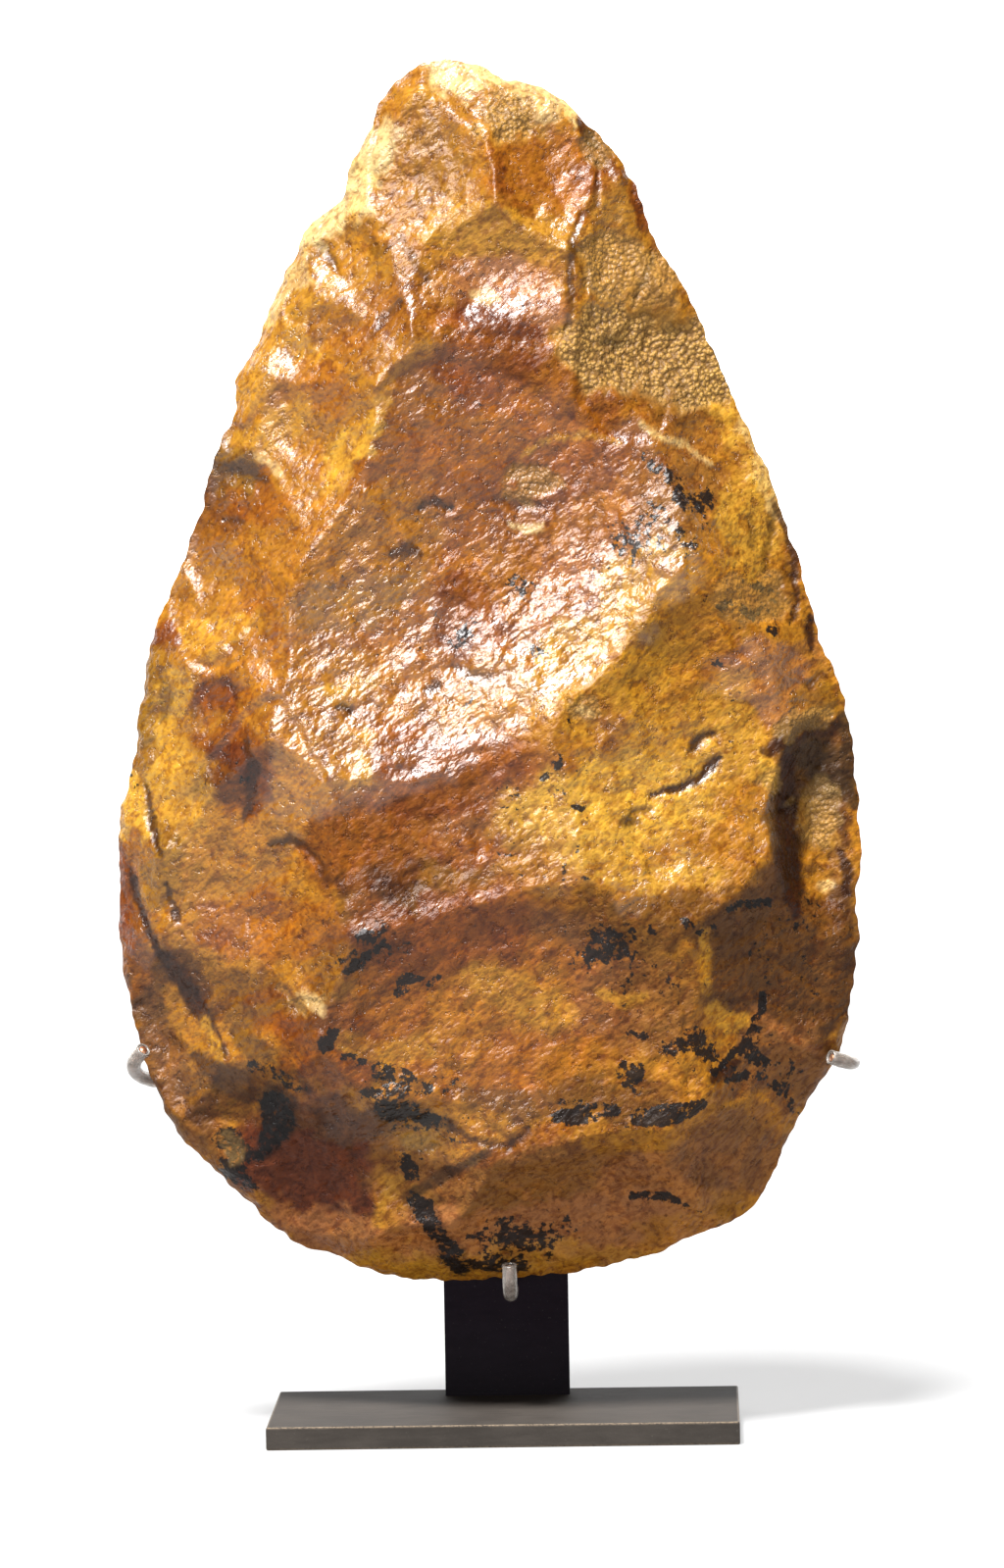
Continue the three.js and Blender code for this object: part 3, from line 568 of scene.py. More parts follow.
# Narrow marks of the front face, drawn as strokes: colour, strength, then x, z, width
# along the stroke.
FRONT_MARKS = [
    # the tip; the cream strokes along its edges are painted glow of light through the thin stone
    ("cream", 0.95, (-36, 248, 1.5), (-31, 251, 3.5), (-27, 257, 4.5), (-24, 262, 3.5),
     (-23, 267, 1.5)),
    ("cream", 0.6, (-26, 262, 2), (-22, 264.5, 3), (-17, 266, 2)),
    ("cream", 0.9, (-6, 280, 2.5), (-2, 277.6, 3.2), (3, 276.4, 2), (9, 275.4, 1.3),
     (15, 273.8, 1.4)),
    ("cream", 0.7, (15, 272.5, 1.5), (18, 270.5, 1.5), (18.5, 266.5, 0.8)),
    ("umber", 0.9, (19.8, 267.5, 1.2), (21.3, 264.8, 2.2), (22.4, 262.8, 1)),
    ("rust", 0.9, (30, 255, 1.5), (31.5, 251, 3), (32, 246.5, 2)),
    ("umber", 0.7, (22.8, 259.5, 0.6), (23, 254, 0.8), (22.5, 250.6, 1.2), (20, 248.8, 1),
     (18, 245, 1.2), (17.6, 238, 1.2), (17.2, 231, 1.2), (16.8, 226, 0.8)),
    ("rust", 0.7, (3.4, 260, 1.5), (3.6, 255, 2), (6, 251, 1.8), (10, 249, 1)),
    ("umber", 0.55, (-36, 240.6, 0.8), (-32.5, 243, 1.2), (-30.5, 239.6, 1.3), (-29, 237, 0.6)),
    ("umber", 0.45, (-28, 247.5, 0.8), (-24, 246.4, 1.6), (-21.5, 242, 1.6), (-17, 244.6, 1.4),
     (-14, 240, 1.4), (-11, 236, 0.8)),
    ("umber", 0.55, (-23, 224.5, 0.7), (-20.5, 228.6, 1), (-17, 231.4, 0.7)),
    ("umber", 0.5, (-12, 235.5, 0.8), (-9.5, 238.6, 1), (-4, 238, 0.7)),
    ("rose", 0.9, (-3, 235.5, 4), (3, 235.5, 8), (9, 233.5, 10), (13, 230, 7)),
    # painted highlight on the facet
    ("cream", 0.6, (-2.4, 233, 1), (0.4, 232.4, 2.6), (2.6, 232, 1)),
    ("brick", 0.6, (-9, 229, 2), (-4, 230, 4), (2, 227, 4), (9, 224.6, 1.6)),
    ("umber", 0.8, (30.4, 232, 0.7), (32.6, 236, 0.9), (34, 240, 0.6)),
    ("rust", 0.8, (10.4, 224.2, 0.8), (9.4, 226, 1.6), (6.6, 226.6, 0.8)),
    ("umber", 0.9, (23.4, 222.8, 1), (26, 222.3, 1.9), (28.5, 222.6, 0.8)),
    # painted highlight on the rim above the dark bowl
    ("cream", 0.5, (-47, 201, 0.8), (-44, 199.8, 1.3), (-42, 197, 1)),
    ("honey", 0.95, (-31, 196.5, 1.6), (-28, 201.6, 2.6), (-25, 206, 2.2), (-22, 209.4, 1)),
    ("honey", 0.7, (7, 200.4, 0.6), (13, 203.8, 0.7), (20, 204.3, 0.8), (27, 202.6, 0.6)),
    ("cream", 0.55, (31, 206.6, 0.7), (35, 203.4, 0.9), (40, 202, 0.9), (44.5, 198, 0.6)),
    # the great flake
    # painted shade at the foot of a small step, also cut in as a groove
    ("umber", 0.85, (-14, 190.2, 0.8), (-10.5, 191.4, 1.5), (-7, 190.2, 0.8)),
    ("umber", 0.8, (-19, 181, 1.4), (-16.5, 182, 3), (-14, 181.2, 1.4)),
    ("umber", 0.55, (1.5, 191.6, 1), (6, 190.6, 1.8), (10, 190.4, 1.4)),
    ("cream", 0.8, (4.8, 186.4, 0.6), (7.4, 185.6, 1.2), (10.4, 186, 1.3)),
    ("umber", 0.8, (-30.4, 150.8, 0.8), (-28, 150, 1.6)),
    ("umber", 0.8, (-13, 153.4, 1), (-11, 154.2, 1.6)),
    ("umber", 0.6, (-7, 158, 1.2), (-3.4, 156.4, 1.6), (0, 156, 1)),
    ("honey", 0.85, (-34.4, 154.6, 0.8), (-30, 153.8, 1.8), (-26, 156.2, 0.9)),
    ("honey", 0.9, (-27.6, 145, 0.7), (-26.6, 141.8, 2.2), (-25.4, 138.6, 1.4)),
    ("rust", 0.5, (-24.6, 149, 1), (-21, 146.4, 4), (-16, 144, 5), (-12, 142.6, 2)),
    ("rust", 0.45, (-18, 152, 1), (-16.4, 160, 1.3), (-14, 170, 1)),
    ("honey", 0.95, (12, 155.6, 1.4), (18.6, 159, 2.6), (24, 164.6, 2.4), (28.6, 169.6, 1.8),
     (31, 172, 0.8)),
    # below the great ridge
    ("umber", 0.95, (32, 131.6, 0.7), (38, 132.9, 0.9), (41, 134.2, 1.5), (43.5, 136.5, 1.9),
     (46.2, 138.8, 0.8)),
    ("umber", 0.9, (40.6, 141, 0.9), (42.4, 143, 1.4), (44.8, 143.8, 0.9)),
    ("umber", 0.75, (26, 126.6, 1.4), (27.4, 127, 2), (29, 126.8, 1.2)),
    ("umber", 0.6, (28.6, 128.6, 0.8), (31.8, 128.6, 0.9)),
    ("rust", 0.45, (32, 150.4, 1.2), (38, 151.6, 2.6), (44, 156, 3.2), (50, 160, 2)),
    ("rust", 0.5, (20, 152, 3), (25, 146, 4), (23, 140, 3)),
    ("cream", 0.7, (18, 149.6, 1.2), (19.6, 148.4, 1.8)),
    ("brick", 0.6, (-1, 138, 2), (2, 136, 4), (5, 138, 3)),
    ("umber", 0.5, (52, 166, 3), (56, 170, 5), (59.5, 172, 4), (60.5, 178, 1.5)),
    ("umber", 0.85, (58, 189.6, 0.9), (60, 185, 1.3), (61.6, 180.6, 1.5), (62, 175, 1)),
    ("umber", 0.6, (57.6, 187, 0.8), (56.6, 181, 0.9), (55.8, 176.6, 0.8)),
    ("umber", 0.5, (53, 187, 0.8), (53.2, 181, 0.8)),
    ("umber", 0.8, (61.4, 175, 0.9), (62.2, 170, 1.3), (61, 166, 0.8)),
    ("umber", 0.9, (64.8, 166.4, 1.1), (64.6, 163, 2.1), (65, 160.4, 0.9)),
    ("umber", 0.7, (64, 152.4, 0.8), (66, 154.2, 1), (67.4, 154.6, 0.8)),
    # the notch: the umber arch and the umber left wall are painted shadow; the bark over its upper
    # inside is partly its own dark grey-brown, partly painted shadow
    ("umber", 0.9, (55.5, 139.5, 2), (58.5, 141.6, 3), (64, 143.6, 2.2), (70, 143.4, 2.4)),
    ("bark", 0.9, (60.5, 139, 3), (66, 138, 8), (69.5, 133, 6)),
    ("straw", 0.9, (54.4, 137.5, 1.6), (55.6, 134.6, 3), (57.2, 131.6, 1.4)),
    ("umber", 1.0, (60, 138, 2.4), (59.4, 131, 4), (59.2, 124, 4.6), (59.8, 116, 4.4),
     (60.4, 110, 3.2), (61, 106, 1.4)),
    ("crust", 0.9, (64, 128, 4), (66, 124, 7), (68, 121, 4)),
    ("amber", 0.95, (65, 117.5, 5), (65.6, 112, 5)),
    ("cream", 0.5, (66.6, 111.4, 2), (68.4, 112, 1.4)),
    ("bark", 0.9, (71.4, 146, 2.4), (72.6, 138, 3), (72, 131, 3), (73.4, 128, 1.6)),
    ("umber", 0.9, (70.6, 118, 1), (71.6, 114, 2.4), (71.4, 110.4, 1.6)),
    # the left flank
    # painted shade in the top of the dark bowl's hollow
    ("umber", 0.75, (-56, 199.6, 1.5), (-52, 198.8, 2.6), (-48, 198.4, 2.4), (-45, 196, 1.4)),
    ("umber", 0.55, (-53.4, 188, 0.8), (-50.4, 187.6, 1.1)),
    ("honey", 0.9, (-62, 167, 1), (-55, 167.4, 1.5), (-50, 169, 1)),
    ("rust", 0.85, (-69, 164, 2), (-66, 166, 3.6), (-64.4, 164, 2)),
    ("amber", 1.0, (-63.6, 160, 3.4), (-60.4, 160, 3.4)),
    ("rust", 0.85, (-58, 152.6, 5), (-54, 153.4, 5), (-52.4, 150, 3)),
    ("umber", 0.5, (-60.4, 149, 0.8), (-59.6, 154.6, 1), (-56, 156.2, 1), (-52, 155, 1),
     (-50.6, 151, 0.8)),
    ("brick", 0.75, (-57, 141.6, 2.4), (-52, 141.6, 4), (-48, 137, 4.2), (-45, 132.6, 2)),
    ("umber", 0.8, (-49.6, 144, 1), (-48, 139, 1.8), (-49, 131, 1.2), (-50.4, 127.6, 1)),
    # painted shade at the foot of a small step, also cut in as a groove
    ("umber", 0.75, (-44.6, 122.8, 0.9), (-41, 124, 1.6), (-37.2, 122, 1), (-35.6, 120, 0.8)),
    ("umber", 0.6, (-34.6, 118.8, 1), (-33, 115.4, 1.5), (-30, 116.6, 0.8)),
    ("umber", 0.85, (-66.6, 114.4, 0.8), (-65.6, 110.4, 1.3), (-64.4, 107.2, 0.9)),
    ("umber", 0.95, (-74.6, 117, 0.8), (-73.2, 111, 1.1), (-71, 106, 1.3), (-69.4, 101.6, 1.3)),
    ("umber", 0.85, (-70.8, 134, 0.9), (-69.6, 127, 1.2), (-68, 120.6, 0.9)),
    ("rust", 0.9, (-76.4, 121, 1.6), (-76.6, 113, 3), (-76, 105, 3.4), (-74.6, 101, 2)),
    ("straw", 0.85, (-73, 137, 2), (-74.8, 129, 3), (-76, 124, 2)),
    ("olive", 0.85, (-70, 159, 2.4), (-70.8, 150, 3.6), (-70.8, 143, 3)),
    ("umber", 0.5, (-67, 158, 1.6), (-66.4, 152, 2.4), (-67, 147, 1.4)),
    ("honey", 0.85, (-66.4, 147, 1.4), (-65.8, 142, 2.4), (-67.4, 136.6, 1.6)),
    # the belly
    ("honey", 0.8, (42.4, 104, 1.6), (42.2, 98, 1.8), (42.6, 92, 1.4)),
    ("honey", 0.5, (-4, 96, 5), (4, 92, 8), (12, 88, 8)),
    ("honey", 0.5, (-30, 83, 4), (-22, 80, 5), (-14, 82, 5)),
    ("honey", 0.6, (21, 92, 1.6), (26, 90, 2.6), (30, 91, 1.4)),
    ("rust", 0.7, (-60, 103.6, 2), (-57, 103.4, 3.6), (-54, 104.6, 2)),
    ("rust", 0.6, (-50, 91, 2), (-46, 92, 3), (-42, 93, 1.6)),
    ("rust", 0.6, (-48, 86, 3), (-43, 87, 4), (-40, 84, 2)),
    # painted highlight on a small crust
    ("cream", 0.55, (-39.4, 92.6, 1), (-37.4, 92, 2), (-35, 89.6, 1.6)),
    # the right flank
    ("umber", 0.95, (43.4, 73.6, 1.2), (46, 75.2, 2.6), (48.6, 77, 1)),
    ("honey", 0.85, (44, 88, 3), (47, 84.6, 4), (50, 85.6, 2.4)),
    ("rose", 0.5, (52, 88, 1), (56, 84, 1.4), (61, 80, 1.4), (66, 77.6, 1)),
    # the lower left
    # painted shadow along the foot of the left ledge
    ("umber", 0.95, (-69.6, 101.4, 1.4), (-66, 97.6, 3.6), (-62.6, 92.6, 5.6), (-60.6, 88.6, 3.6),
     (-58, 84.6, 2.2), (-55.6, 80, 1.2)),
    ("dun", 0.8, (-64, 99.4, 1.2), (-60, 95, 1.6), (-57.4, 88, 1.4)),
    ("amber", 0.9, (-67, 92, 3), (-64.6, 86, 5), (-62, 81, 3)),
    ("honey", 0.8, (-59.6, 86, 1.6), (-57.4, 81.6, 2), (-56.6, 78.6, 1.4)),
    ("soot", 0.5, (-53, 84.4, 2.6), (-48, 80, 5.6), (-43.4, 76.6, 4.4), (-39, 73.6, 2.4)),
    # the facet below the soot band: dark brown, partly painted shade
    ("umber", 0.8, (-62, 79, 1.5), (-56, 74.6, 6), (-49, 72.4, 7), (-43, 70.6, 5)),
    ("umber", 0.7, (-62, 67, 4), (-58, 69, 5), (-53, 69, 5)),
    ("soot", 0.7, (-45.6, 69.6, 6), (-44.6, 66, 6.6), (-46.6, 62, 5.4), (-49.4, 58.6, 2.4)),
    ("soot", 0.55, (-23, 68.6, 4.4), (-18, 68.6, 4.8), (-13.4, 66.6, 3), (-9.6, 65.4, 1.5)),
    ("umber", 0.75, (-10, 65.4, 1), (-4, 62, 1.4), (2, 61, 1.2), (6, 64.4, 1)),
    ("crust", 0.8, (-18, 62, 3), (-15, 64, 4), (-13.4, 63, 2)),
    ("honey", 0.5, (-23.6, 53.6, 2), (-20.6, 52.6, 3), (-24.4, 48.6, 1.8), (-25.2, 44.6, 1.5)),
    ("umber", 0.45, (-38.6, 69.4, 0.8), (-34, 65, 1), (-30.4, 60, 1.2), (-28.4, 53, 1.2),
     (-27.4, 46, 1)),
    ("amber", 0.8, (-51, 49.6, 2.4), (-48, 48.6, 2.6)),
    # the butt
    ("soot", 0.5, (-18.6, 50.6, 2.6), (-15.8, 48, 4.4), (-13.6, 44, 3.8), (-12, 41, 3.4),
     (-10, 37.6, 5.6), (-8.4, 34.6, 4)),
    ("soot", 0.7, (-18, 51, 1.3), (-13, 53.6, 2.4), (-8, 56.6, 1.9), (-2, 60, 1.1)),
]

# Narrow black stains of the front face: density, then x, z, width along the stroke.
FRONT_INK = [
    (1.3, (-7, 163, 2.6), (-4, 165, 3), (-3, 168, 1.6)),
    (1.0, (4.6, 175.4, 2.4), (8, 173, 4), (10.6, 171, 2.4)),
    (1.1, (8.6, 161.8, 1.6), (11, 160, 1.8)),
    (1.2, (-5.4, 150.4, 1.2), (-4, 150.8, 1)),
    (1.0, (26, 182, 2.6), (30, 185.6, 4), (35, 188.4, 3)),
    (1.0, (29, 180, 2.4), (34, 182, 3.6), (38, 184, 2)),
    (1.25, (39.4, 191.6, 4), (43.6, 190.6, 5)),
    (1.0, (32, 199, 2), (36, 196.4, 3), (39.4, 194, 2.4)),
    (1.5, (46.6, 169.4, 1.4), (48.6, 170, 1)),
    (1.6, (50.8, 168.8, 1.4), (53, 167.6, 2), (54.8, 168.8, 1.2)),
    (1.4, (53.6, 173.2, 1.4), (56.2, 172, 1.8)),
    (1.3, (56.6, 164.4, 1.4), (58, 163.8, 1.2)),
    (1.1, (44.6, 158.2, 1), (47, 157.6, 0.9)),
    (1.2, (11, 136, 1.6), (14, 139.8, 1.2)),
    (1.4, (16.4, 130, 1), (18, 129.6, 1)),
    (1.3, (22, 103.6, 5), (25, 100.6, 5), (20, 99, 3)),
    (1.5, (38, 106.8, 1.4), (39.4, 105.6, 1.4)),
    (1.3, (31.4, 105, 1.4), (32.6, 104.4, 1.4)),
    (1.6, (47, 108.6, 1.2), (51, 109.4, 1.4), (55.6, 109.4, 1.5)),
    (1.3, (40.6, 104, 0.9), (44, 104.6, 1)),
    (1.5, (26.6, 83.4, 1.4), (29.6, 82.8, 1.2)),
    (1.2, (35.6, 80.4, 4), (40, 82.8, 5), (43, 79, 3)),
    (1.2, (25.4, 76, 3), (27.6, 72.6, 4), (28.6, 77.6, 2)),
    (1.5, (28, 66.2, 2.6), (33, 66.8, 4), (38, 67.4, 3.8), (41.4, 69, 1.6)),
    (1.4, (12, 66.6, 2), (18, 67.6, 4), (23, 68, 3)),
    (1.5, (46.4, 73.2, 1.2), (50, 74, 1.8), (53.4, 73.4, 1.2)),
    (1.45, (52.4, 83.4, 2.2), (50.8, 80, 3.4), (52.4, 77.2, 2.4), (54.4, 76.4, 1.4)),
    (1.7, (54.2, 90.4, 1), (53.2, 86.4, 1.2), (51, 82.2, 1.2), (47.6, 78, 1), (44, 75, 0.9)),
    (1.2, (55.6, 71.6, 1.2), (58, 69.8, 1.4), (61, 65, 1)),
    (1.4, (-29.6, 97.6, 1.6), (-27, 99.6, 2), (-22, 102.4, 2.6)),
    (1.3, (-27, 104.6, 1.8), (-23, 104.8, 1.6)),
    (1.5, (-19.6, 92.6, 2), (-17.4, 95.4, 3), (-14.6, 96, 1.8)),
    (1.4, (-13.4, 94, 1.2), (-11.6, 95.8, 1)),
    (1.5, (-34.6, 82.6, 3), (-32.6, 85, 2.4)),
    (1.2, (-31, 80, 1.8), (-27, 79, 1.8)),
    (1.3, (-23.4, 77, 4), (-20, 74.6, 6), (-15, 73, 4)),
    (1.6, (-27, 72.4, 1.2), (-24, 72.6, 1)),
    (1.5, (-45.6, 69.6, 6), (-44.6, 66, 6), (-46.6, 62, 5), (-48.8, 59, 2)),
    (1.2, (-56, 62, 5), (-52, 58.6, 6)),
    (1.4, (-56.6, 56, 3), (-53, 54, 5), (-50.4, 52, 2.4)),
    (1.35, (-23, 68.6, 4), (-18, 68.6, 4.4), (-13.4, 66.6, 2.6)),
    (1.3, (-19.4, 58, 3.4), (-18, 54.6, 3.4)),
    (1.4, (-18.4, 50.4, 2), (-15.8, 48, 4), (-13.6, 44, 3.4), (-12, 41, 3), (-10, 37.6, 5),
     (-8.4, 34.6, 3.6)),
    (1.3, (-8, 36, 2), (-2, 34.6, 2.6), (4, 35, 3)),
    (1.3, (-3, 41, 2), (4, 42.6, 3.4), (11, 41, 2.6)),
    (1.1, (-50, 77.6, 3), (-44, 75.6, 3.4), (-39.6, 73.4, 2)),
    (1.2, (27, 49.4, 1.4), (33, 49.6, 1.6), (38, 47, 1.2)),
]

# The back's black stains, as FRONT_STAINS.
BACK_STAINS = [
    (-20, 90, 30, 16, 20, 0.8), (25, 60, 24, 12, -10, 0.9), (10, 150, 20, 12, 30, 0.6),
    (-40, 180, 14, 24, -20, 0.5), (0, 220, 18, 10, 10, 0.5), (45, 110, 12, 22, 0, 0.6),
]

# Rough granular rind: x, z, wide, tall, turn, strength.
FRONT_CRUST = [
    (30, 221, 34, 16, -8, 1.0), (43, 217, 16, 16, 0, 1.0), (26, 238, 12, 18, 10, 0.7),
    (34, 236, 10, 12, 0, 0.6), (5, 268, 9, 12, 60, 0.8), (25, 262, 10, 10, -40, 0.6),
    (9, 195, 9, 7, 0, 0.6), (20, 149, 4, 4, 0, 0.6), (66, 126, 9, 14, 0, 0.6),
    (53, 171, 14, 10, 0, 0.4), (-38, 92, 6, 4, 0, 0.5), (-16, 62, 7, 6, 0, 0.5),
    (-54, 61, 8, 6, 0, 0.3), (63, 146, 12, 6, 20, 0.5), (56, 134, 5, 8, 0, 0.5),
]

# Rough, lumpy parts of the front face: x, z, wide, tall, turn, strength.
FRONT_ROUGH = [
    (-37, 57, 24, 30, 0, 1.0), (-27, 64, 16, 12, 0, 0.8), (-52, 68, 24, 16, -30, 0.7),
    (38, 195, 20, 14, 30, 0.7), (66, 126, 10, 34, 0, 1.0), (24, 262, 12, 14, -40, 0.8),
    (-45, 88, 26, 26, 0, 0.6), (-18, 74, 26, 12, 0, 0.6), (15, 42, 54, 14, 0, 0.5),
    (60, 96, 24, 34, 0, 0.6), (-64, 84, 14, 30, 20, 0.7), (0, 95, 60, 30, 0, 0.35),
    (10, 175, 60, 30, 35, 0.4), (-30, 175, 40, 30, 0, 0.3),
]

# The back's rind, as FRONT_CRUST.
BACK_CRUST = [(20, 200, 24, 20, 10, 0.8), (-30, 60, 26, 14, -10, 0.6)]

# Where the face has kept its wet-looking polish: x, z, wide, tall, turn, strength.
FRONT_POLISH = [
    (2, 158, 104, 26, 34, 1.0), (-26, 158, 46, 44, 0, 1.0), (-56, 175, 20, 20, 0, 1.0),
    (-38, 138, 18, 24, 0, 1.0), (-10, 195, 60, 40, 20, 0.6), (-40, 200, 40, 40, 0, 0.6),
    (-41, 222, 14, 10, 0, 1.0), (-30, 218, 60, 50, 0, 0.5), (5, 233, 26, 14, -15, 0.6),
    (16, 246, 10, 8, 0, 0.8), (24, 233, 10, 16, 0, 0.5), (-6, 267, 16, 10, 20, 0.4),
    (-5, 250, 70, 60, 0, 0.25), (-58, 135, 40, 80, 0, 0.5), (-10, 95, 70, 40, 0, 0.25),
    (20, 130, 60, 30, 20, 0.35), (33, 117, 20, 12, 30, 0.7), (55, 126, 12, 12, 0, 0.6),
    (54, 154, 20, 16, 0, 0.6), (-15, 72, 50, 26, 0, 0.3), (-60, 90, 30, 40, 0, 0.3),
    (-73, 104, 8, 12, 0, 0.7), (30, 190, 40, 30, 30, 0.5),
]
BACK_POLISH = [(-10, 200, 110, 110, 0, 0.7), (0, 100, 120, 70, 0, 0.4)]


def as_light(colour):
    """A colour out of 255 as the amount of light it returns."""
    share = np.array(colour, float) / 255
    return DEPTH * np.where(share <= 0.04045, share / 12.92, ((share + 0.055) / 1.055) ** 2.4)


def frayed(x, z):
    """The same points pushed about, so that blotches get ragged borders."""
    wx, wz = x.copy(), z.copy()
    for push, size, seed in ((3.0, 11, 301), (2.4, 4.6, 303), (1.4, 2.2, 305)):
        wx += push * lattice_noise(x, z, size, seed)
        wz += push * lattice_noise(x, z, size, seed + 1)
    return wx, wz


def stroke(x, z, route, edge):
    """1 along a stroke of changing width and 0 away from it."""
    most = np.zeros_like(x)
    for (x0, z0, width0), (x1, z1, width1) in zip(route, route[1:]):
        dx, dz = x1 - x0, z1 - z0
        share = np.clip(((x - x0) * dx + (z - z0) * dz) / (dx * dx + dz * dz), 0, 1)
        away = np.hypot(x - x0 - dx * share, z - z0 - dz * share)
        half = (width0 + (width1 - width0) * share) / 2 + LEAST_STROKE
        most = np.maximum(most, np.clip((1 + edge - away / half) / (2 * edge), 0, 1))
    return most * most * (3 - 2 * most)


def jittered(x, z):
    """The place pushed a little, for the uneven edges of strokes."""
    push = STROKE_PUSH * lattice_noise(x, z, 2.4, 331), STROKE_PUSH * lattice_noise(x, z, 2.4, 332)
    return x + push[0], z + push[1]


def stone_tint(x, z, tints, marks=()):
    """The stone's colour at each point: its own colours, and the painted shade, shadows, highlights
    and glow among the blotches and marks.
    """
    wx, wz = frayed(x, z)
    colour = np.tile(as_light(PALETTE["amber"]), (len(x), 1))
    for x0, z0, wide, tall, turn, name, strength in tints:
        share = (strength * soft_patch(wx, wz, x0, z0, wide, tall, turn, 0.32))[:, None]
        colour = colour * (1 - share) + as_light(PALETTE[name]) * share
    wx, wz = jittered(x, z)
    for name, strength, *route in marks:
        share = (strength * stroke(wx, wz, route, 0.3))[:, None]
        colour = colour * (1 - share) + as_light(PALETTE[name]) * share
    return colour


def stone_patches(x, z, patches, strokes=()):
    """How strong the strongest of several patches and strokes is at each point."""
    wx, wz = frayed(x, z)
    most = np.zeros_like(x)
    for x0, z0, wide, tall, turn, strength in patches:
        most = np.maximum(most, strength * soft_patch(wx, wz, x0, z0, wide, tall, turn, 0.32))
    wx, wz = jittered(x, z)
    for strength, *route in strokes:
        most = np.maximum(most, strength * stroke(wx, wz, route, 0.3))
    return most


def cracks():
    """The thin dark marks, which are open cracks and the feet of small steps; the dark at a step's
    foot is painted shade.
    """
    return [route for name, strength, *route in FRONT_MARKS
            if name == "umber" and strength > 0.5 and max(width for *_, width in route) < 2]


# ---------------------------------------------------------------- materials

class Wire:
    """A node socket carrying one number, so that shader maths reads as maths."""

    def __init__(self, finish, socket):
        self.finish = finish
        self.socket = socket

    def math(self, operation, *others):
        values = {i: value for i, value in enumerate((self, *others))}
        return self.finish.node("ShaderNodeMath", {"operation": operation}, values)[0]

    def __add__(self, other):
        return self.math("ADD", other)

    def __sub__(self, other):
        return self.math("SUBTRACT", other)

    def __rsub__(self, other):
        return (self * -1) + other

    def __mul__(self, other):
        return self.math("MULTIPLY", other)

    __radd__ = __add__
    __rmul__ = __mul__

    def band(self, low, high):
        """0 below low, 1 above high, and smooth between."""
        settings = {"interpolation_type": "SMOOTHSTEP"}
        return self.finish.node("ShaderNodeMapRange", settings, {0: self, 1: low, 2: high})[0]


class Nodes:
    """A node tree being filled."""

    def __init__(self, tree):
        self.tree = tree
        self.tree.nodes.clear()

    def node(self, kind, settings=None, values=None):
        """Adds a node, sets it up, fills its sockets and gives its outputs as wires."""
        node = self.tree.nodes.new(kind)
        for name, value in (settings or {}).items():
            if name == "stops":
                self.set_stops(node.color_ramp.elements, value)
            else:
                setattr(node, name, value)
        for key, value in (values or {}).items():
            if isinstance(value, Wire):
                self.tree.links.new(value.socket, node.inputs[key])
            else:
                node.inputs[key].default_value = value
        return [Wire(self, socket) for socket in node.outputs]

    @staticmethod
    def set_stops(elements, stops):
        while len(elements) < len(stops):
            elements.new(0.5)
        for element, (place, colour) in zip(elements, stops):
            element.position = place
            element.color = (*colour, 1)


class Finish(Nodes):
    """A material being made from nodes."""

    def __init__(self, name):
        self.material = bpy.data.materials.new(name)
        self.material.use_nodes = True
        super().__init__(self.material.node_tree)

    def place(self, stretch=(1, 1, 1), lean=0):
        """The piece's own coordinates in millimetres, drawn out and leaning, for a grain."""
        own = self.node("ShaderNodeTexCoord")[3]
        drawn = tuple(MM * s for s in stretch)
        values = {"Vector": own, "Rotation": (0, -math.radians(lean), 0), "Scale": drawn}
        return self.node("ShaderNodeMapping", {"vector_type": "TEXTURE"}, values)[0]

    def noise(self, where, size, detail=3.0, roughness=0.55, distortion=0.0):
        """Noise with lumps about 'size' millimetres across."""
        values = {"Vector": where, "Scale": 1 / size, "Detail": detail,
                  "Roughness": roughness, "Distortion": distortion}
        return self.node("ShaderNodeTexNoise", None, values)[0]

    def frayed(self, where, size):
        """The place pushed about by noise, so that a pattern on it isn't too regular."""
        push = self.node("ShaderNodeTexNoise", None, {"Vector": where, "Scale": 1 / size})[1]
        values = {0: push, 1: (0.45, 0.45, 0.45), 2: where}
        return self.node("ShaderNodeVectorMath", {"operation": "MULTIPLY_ADD"}, values)[0]

    def attribute(self, name):
        """A painted value of the mesh: its colour and its number."""
        outputs = self.node("ShaderNodeAttribute", {"attribute_name": name})
        return outputs[0], outputs[2]

    def mix(self, factor, first, second, blend="MIX"):
        """Blends two colours."""
        settings = {"data_type": "RGBA", "blend_type": blend}
        return self.node("ShaderNodeMix", settings, {0: factor, 6: first, 7: second})[2]

    def bump(self, height, depth):
        """Bumps of that depth in millimetres."""
        values = {"Strength": 1.0, "Distance": depth * MM, "Height": height}
        return self.node("ShaderNodeBump", None, values)[0]

    def principled(self, **values):
        """A shader; underscores in names stand for spaces."""
        named = {name.replace("_", " "): value for name, value in values.items()}
        return self.node("ShaderNodeBsdfPrincipled", None, named)[0]

    def finished(self, shader):
        self.node("ShaderNodeOutputMaterial", None, {0: shader})
        return self.material

    def surface(self, **values):
        return self.finished(self.principled(**values))


